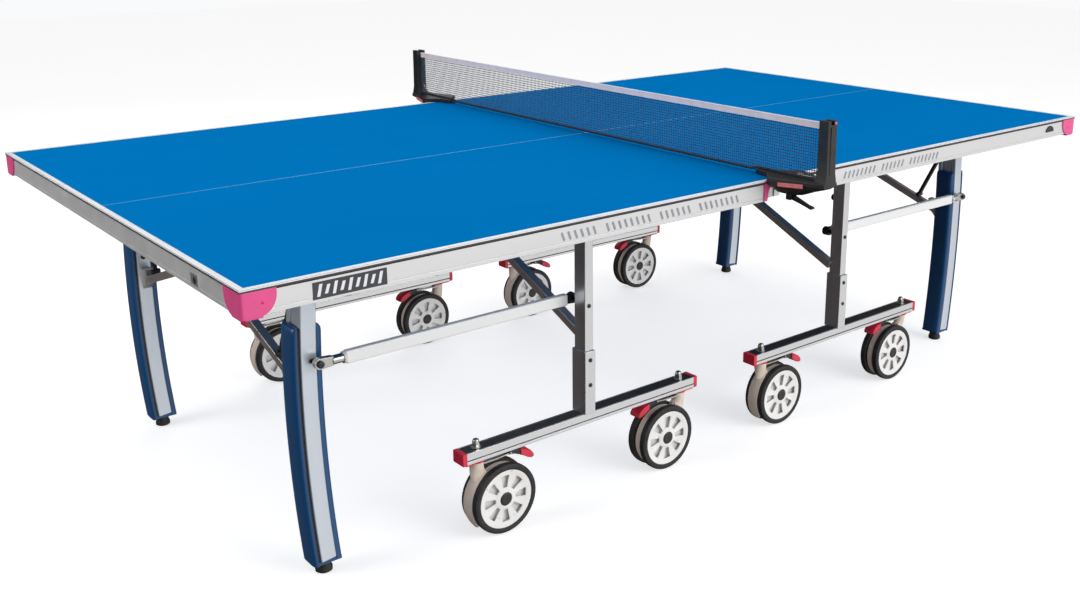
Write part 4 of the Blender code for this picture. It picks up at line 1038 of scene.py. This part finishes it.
def make_net():
    body = "net_set"
    pick = random.Random(7)
    columns = round(NET_LENGTH / MESH_PITCH)
    low, high = NET_LOW_Z, NET_HIGH_Z - 0.004
    rows = round((high - low) / MESH_PITCH)

    def knot(column, row):
        y = -NET_LENGTH / 2 + NET_LENGTH * column / columns
        z = low + (high - low) * row / rows
        if 0 < column < columns:
            y += pick.uniform(-STRAND_JITTER, STRAND_JITTER)
        if 0 < row < rows:
            z += pick.uniform(-STRAND_JITTER, STRAND_JITTER)
        if abs(y) > CLAMP_Y:
            z = max(z, CLAMP_TOP_Z)
        return Vector((0.0, y, z))

    knots = [[knot(column, row) for row in range(rows + 1)] for column in range(columns + 1)]
    shape = Shape()

    def strand(points, across):
        thick, wide = Vector((STRAND / 2, 0, 0)), Vector(across) * STRAND / 2
        shape.loft([[point + thick, point + wide, point - thick, point - wide] for point in points])

    for line in knots:
        rising = [after for before, after in zip(line, line[1:]) if after.z > before.z + 0.0005]
        strand([line[0], *rising], (0, 1, 0))
    for row in range(rows + 1):
        line = [column[row] for column in knots]
        if row == 0:
            line = [point for point in line if abs(point.y) <= CLAMP_Y]
        strand(line, (0, 0, 1))
    net = make_piece("net_mesh", shape, body, "net_strand", replaces=("net",))

    shape = Shape()
    end_y = NET_LENGTH / 2 - END_GAP
    low = NET_HIGH_Z - TAPE_HEIGHT
    for side in (-1, 1):
        shape.box((side * 0.0005, -end_y, low), (side * 0.0016, end_y, NET_HIGH_Z - 0.001))
    shape.rod((0, -end_y, NET_HIGH_Z - 0.0006), (0, end_y, NET_HIGH_Z - 0.0006), 0.0021, 14)
    tape = make_piece("net_tape_top", shape, body, "net_tape", bevel=0.0003, segments=1)

    shape = Shape()
    rings = []
    straight_z, lifted_z = NET_LOW_Z + 0.0012, CLAMP_TOP_Z + 0.0008
    for step in range(81):
        y = end_y * (step / 40 - 1)
        lift = min(max((abs(y) - CORD_LIFT_Y) / (CLAMP_Y - CORD_LIFT_Y), 0.0), 1.0)
        z = straight_z + (lifted_z - straight_z) * lift * lift * (3 - 2 * lift)
        rings.append([(x, y, height) for x, height in arc(0.0, z, 0.0024, 0, 324, 9, tall=0.0034)])
    shape.loft(rings)
    cord = make_piece("net_cord_bottom", shape, body, "net_cord")


LEVER_PIVOT = (0.797, 0.7215)
# One side of the clamp's plate as (x, y).
PLATE_OUTLINE = (
    (0.0135, 0.6905), (0.0195, EDGE_Y - 0.028), (0.0575, EDGE_Y + 0.005), (0.0575, EDGE_Y + 0.022),
    (0.0235, 0.9142),
)
# Cross-sections of the clamp's body as (y, half-width, side's low edge, middle's low edge).
CLAMP_SECTIONS = (
    (EDGE_Y + 0.0052, 0.054, 0.753, 0.73), (EDGE_Y + 0.0215, 0.054, 0.7525, 0.7292),
    (0.815, 0.042, 0.748, 0.7292), (0.84, 0.033, 0.75, 0.733), (0.87, 0.027, 0.756, 0.745),
    (0.91, 0.0215, 0.7606, 0.758),
)
CLAMP_BODY_TOP_Z = 0.764
# Cross-sections of the upright as (z, half-width, inner y, outer y).
UPRIGHT_SECTIONS = (
    (0.77, 0.0205, 0.88, 0.9142), (0.779, 0.0192, 0.883, 0.9142), (0.795, 0.0165, 0.8853, 0.9135),
    (0.86, 0.016, 0.8853, 0.913), (0.91, 0.016, 0.8853, 0.9125),
)
TENSION_CORD = (
    (0.004, 0.88, 0.804), (0.006, 0.872, 0.79), (0.009, 0.86, 0.779), (0.012, 0.84, 0.7752),
    (0.013, 0.815, 0.7746),
)
# The lever's side view beyond its round end, as (y, z).
LEVER_TIP_VIEW = (
    (0.83, 0.7085), (0.852, 0.703), (0.862, 0.7), (0.8675, 0.703), (0.864, 0.707), (0.85, 0.7095),
    (0.83, 0.7165),
)


def make_net_post(side_name, y_sign):
    body = "net_set"
    pivot_y, pivot_z = LEVER_PIVOT
    clamp, upright, tensioner, patch, lever = (Shape(flip=(1, y_sign)) for _ in range(5))
    clamp.prism([*PLATE_OUTLINE] + [(-x, y) for x, y in reversed(PLATE_OUTLINE)], "Z", 0.7613, 0.7722)
    # A body that is deep under the pivot and thins out towards its sides and its outer tip.
    rings = []
    for y, reach, low, middle in CLAMP_SECTIONS:
        section = ((reach, CLAMP_BODY_TOP_Z), (reach, low), (reach * 0.34, middle))
        rings.append([(-x, y, z) for x, z in section] + [(x, y, z) for x, z in reversed(section)])
    clamp.loft(rings)
    for x in (-0.0092, 0.0092):
        clamp.bar((x, pivot_y, 0.7135), (x, pivot_y, 0.733), 0.016, 0.0048)
    clamp.rod((-0.0118, pivot_y, pivot_z), (0.0118, pivot_y, pivot_z), 0.003, 14)
    make_piece(f"net_clamp_{side_name}", clamp, body, "black_plastic", bevel=0.0016, segments=3,
               replaces=(f"net_post_{side_name}",))

    upright.loft([
        [(-reach, inner, z), (reach, inner, z), (reach, outer, z), (-reach, outer, z)]
        for z, reach, inner, outer in UPRIGHT_SECTIONS
    ])
    for x in (-1, 1):
        upright.box((x * 0.0052, 0.8853, 0.9095), (x * 0.016, 0.9125, 0.9198))
    upright.box((-0.006, 0.9122, 0.79), (0.006, 0.9144, 0.905))
    make_piece(f"net_upright_{side_name}", upright, body, "black_plastic", bevel=0.0014, segments=3)

    # Tension cord from the upright, with its toggle on the plate, and plain red patches.
    for first, second in zip(TENSION_CORD, TENSION_CORD[1:]):
        tensioner.rod(first, second, 0.0014, 10)
    tensioner.rod((0.013, 0.818, 0.7752), (0.013, 0.804, 0.7752), 0.0034, 16)
    make_piece(f"net_tensioner_{side_name}", tensioner, body, "hub_grey")

    for x in (-1, 1):
        patch.bar((x * 0.053, 0.799, 0.7585), (x * 0.037, 0.862, 0.7615), 0.01, 0.003,
                  across=(0.97, x * 0.25, 0.0))
    patch.dome((0.0105, 0.912, 0.9135), (0, 1, 0), 0.0036, 0.0016, 16)
    make_piece(f"net_patch_{side_name}", patch, body, "label_red", bevel=0.0012)

    lean = math.degrees(math.atan2(0.703 - pivot_z, 0.864 - pivot_y))
    outline = arc(pivot_y, pivot_z, 0.0058, lean + 90, lean + 270, 10) + [*LEVER_TIP_VIEW]
    lever.prism(outline, "X", -0.0058, 0.0058)
    make_piece(f"clip_lever_{side_name}_arm", lever, f"lever_{side_name}", "black_plastic", bevel=0.0012,
               segments=3, replaces=(f"clip_lever_{side_name}",))


# ------------------------ everything

make_camera()
make_studio()
for half, side in HALVES:
    make_top(half, side)
    make_carriage(half, side)
    make_leg_cross(half, side)
make_net()
for side_name, y_sign in SIDES:
    make_net_post(side_name, y_sign)

bpy.context.scene.view_settings.view_transform = "Standard"

bpy.context.view_layer.update()
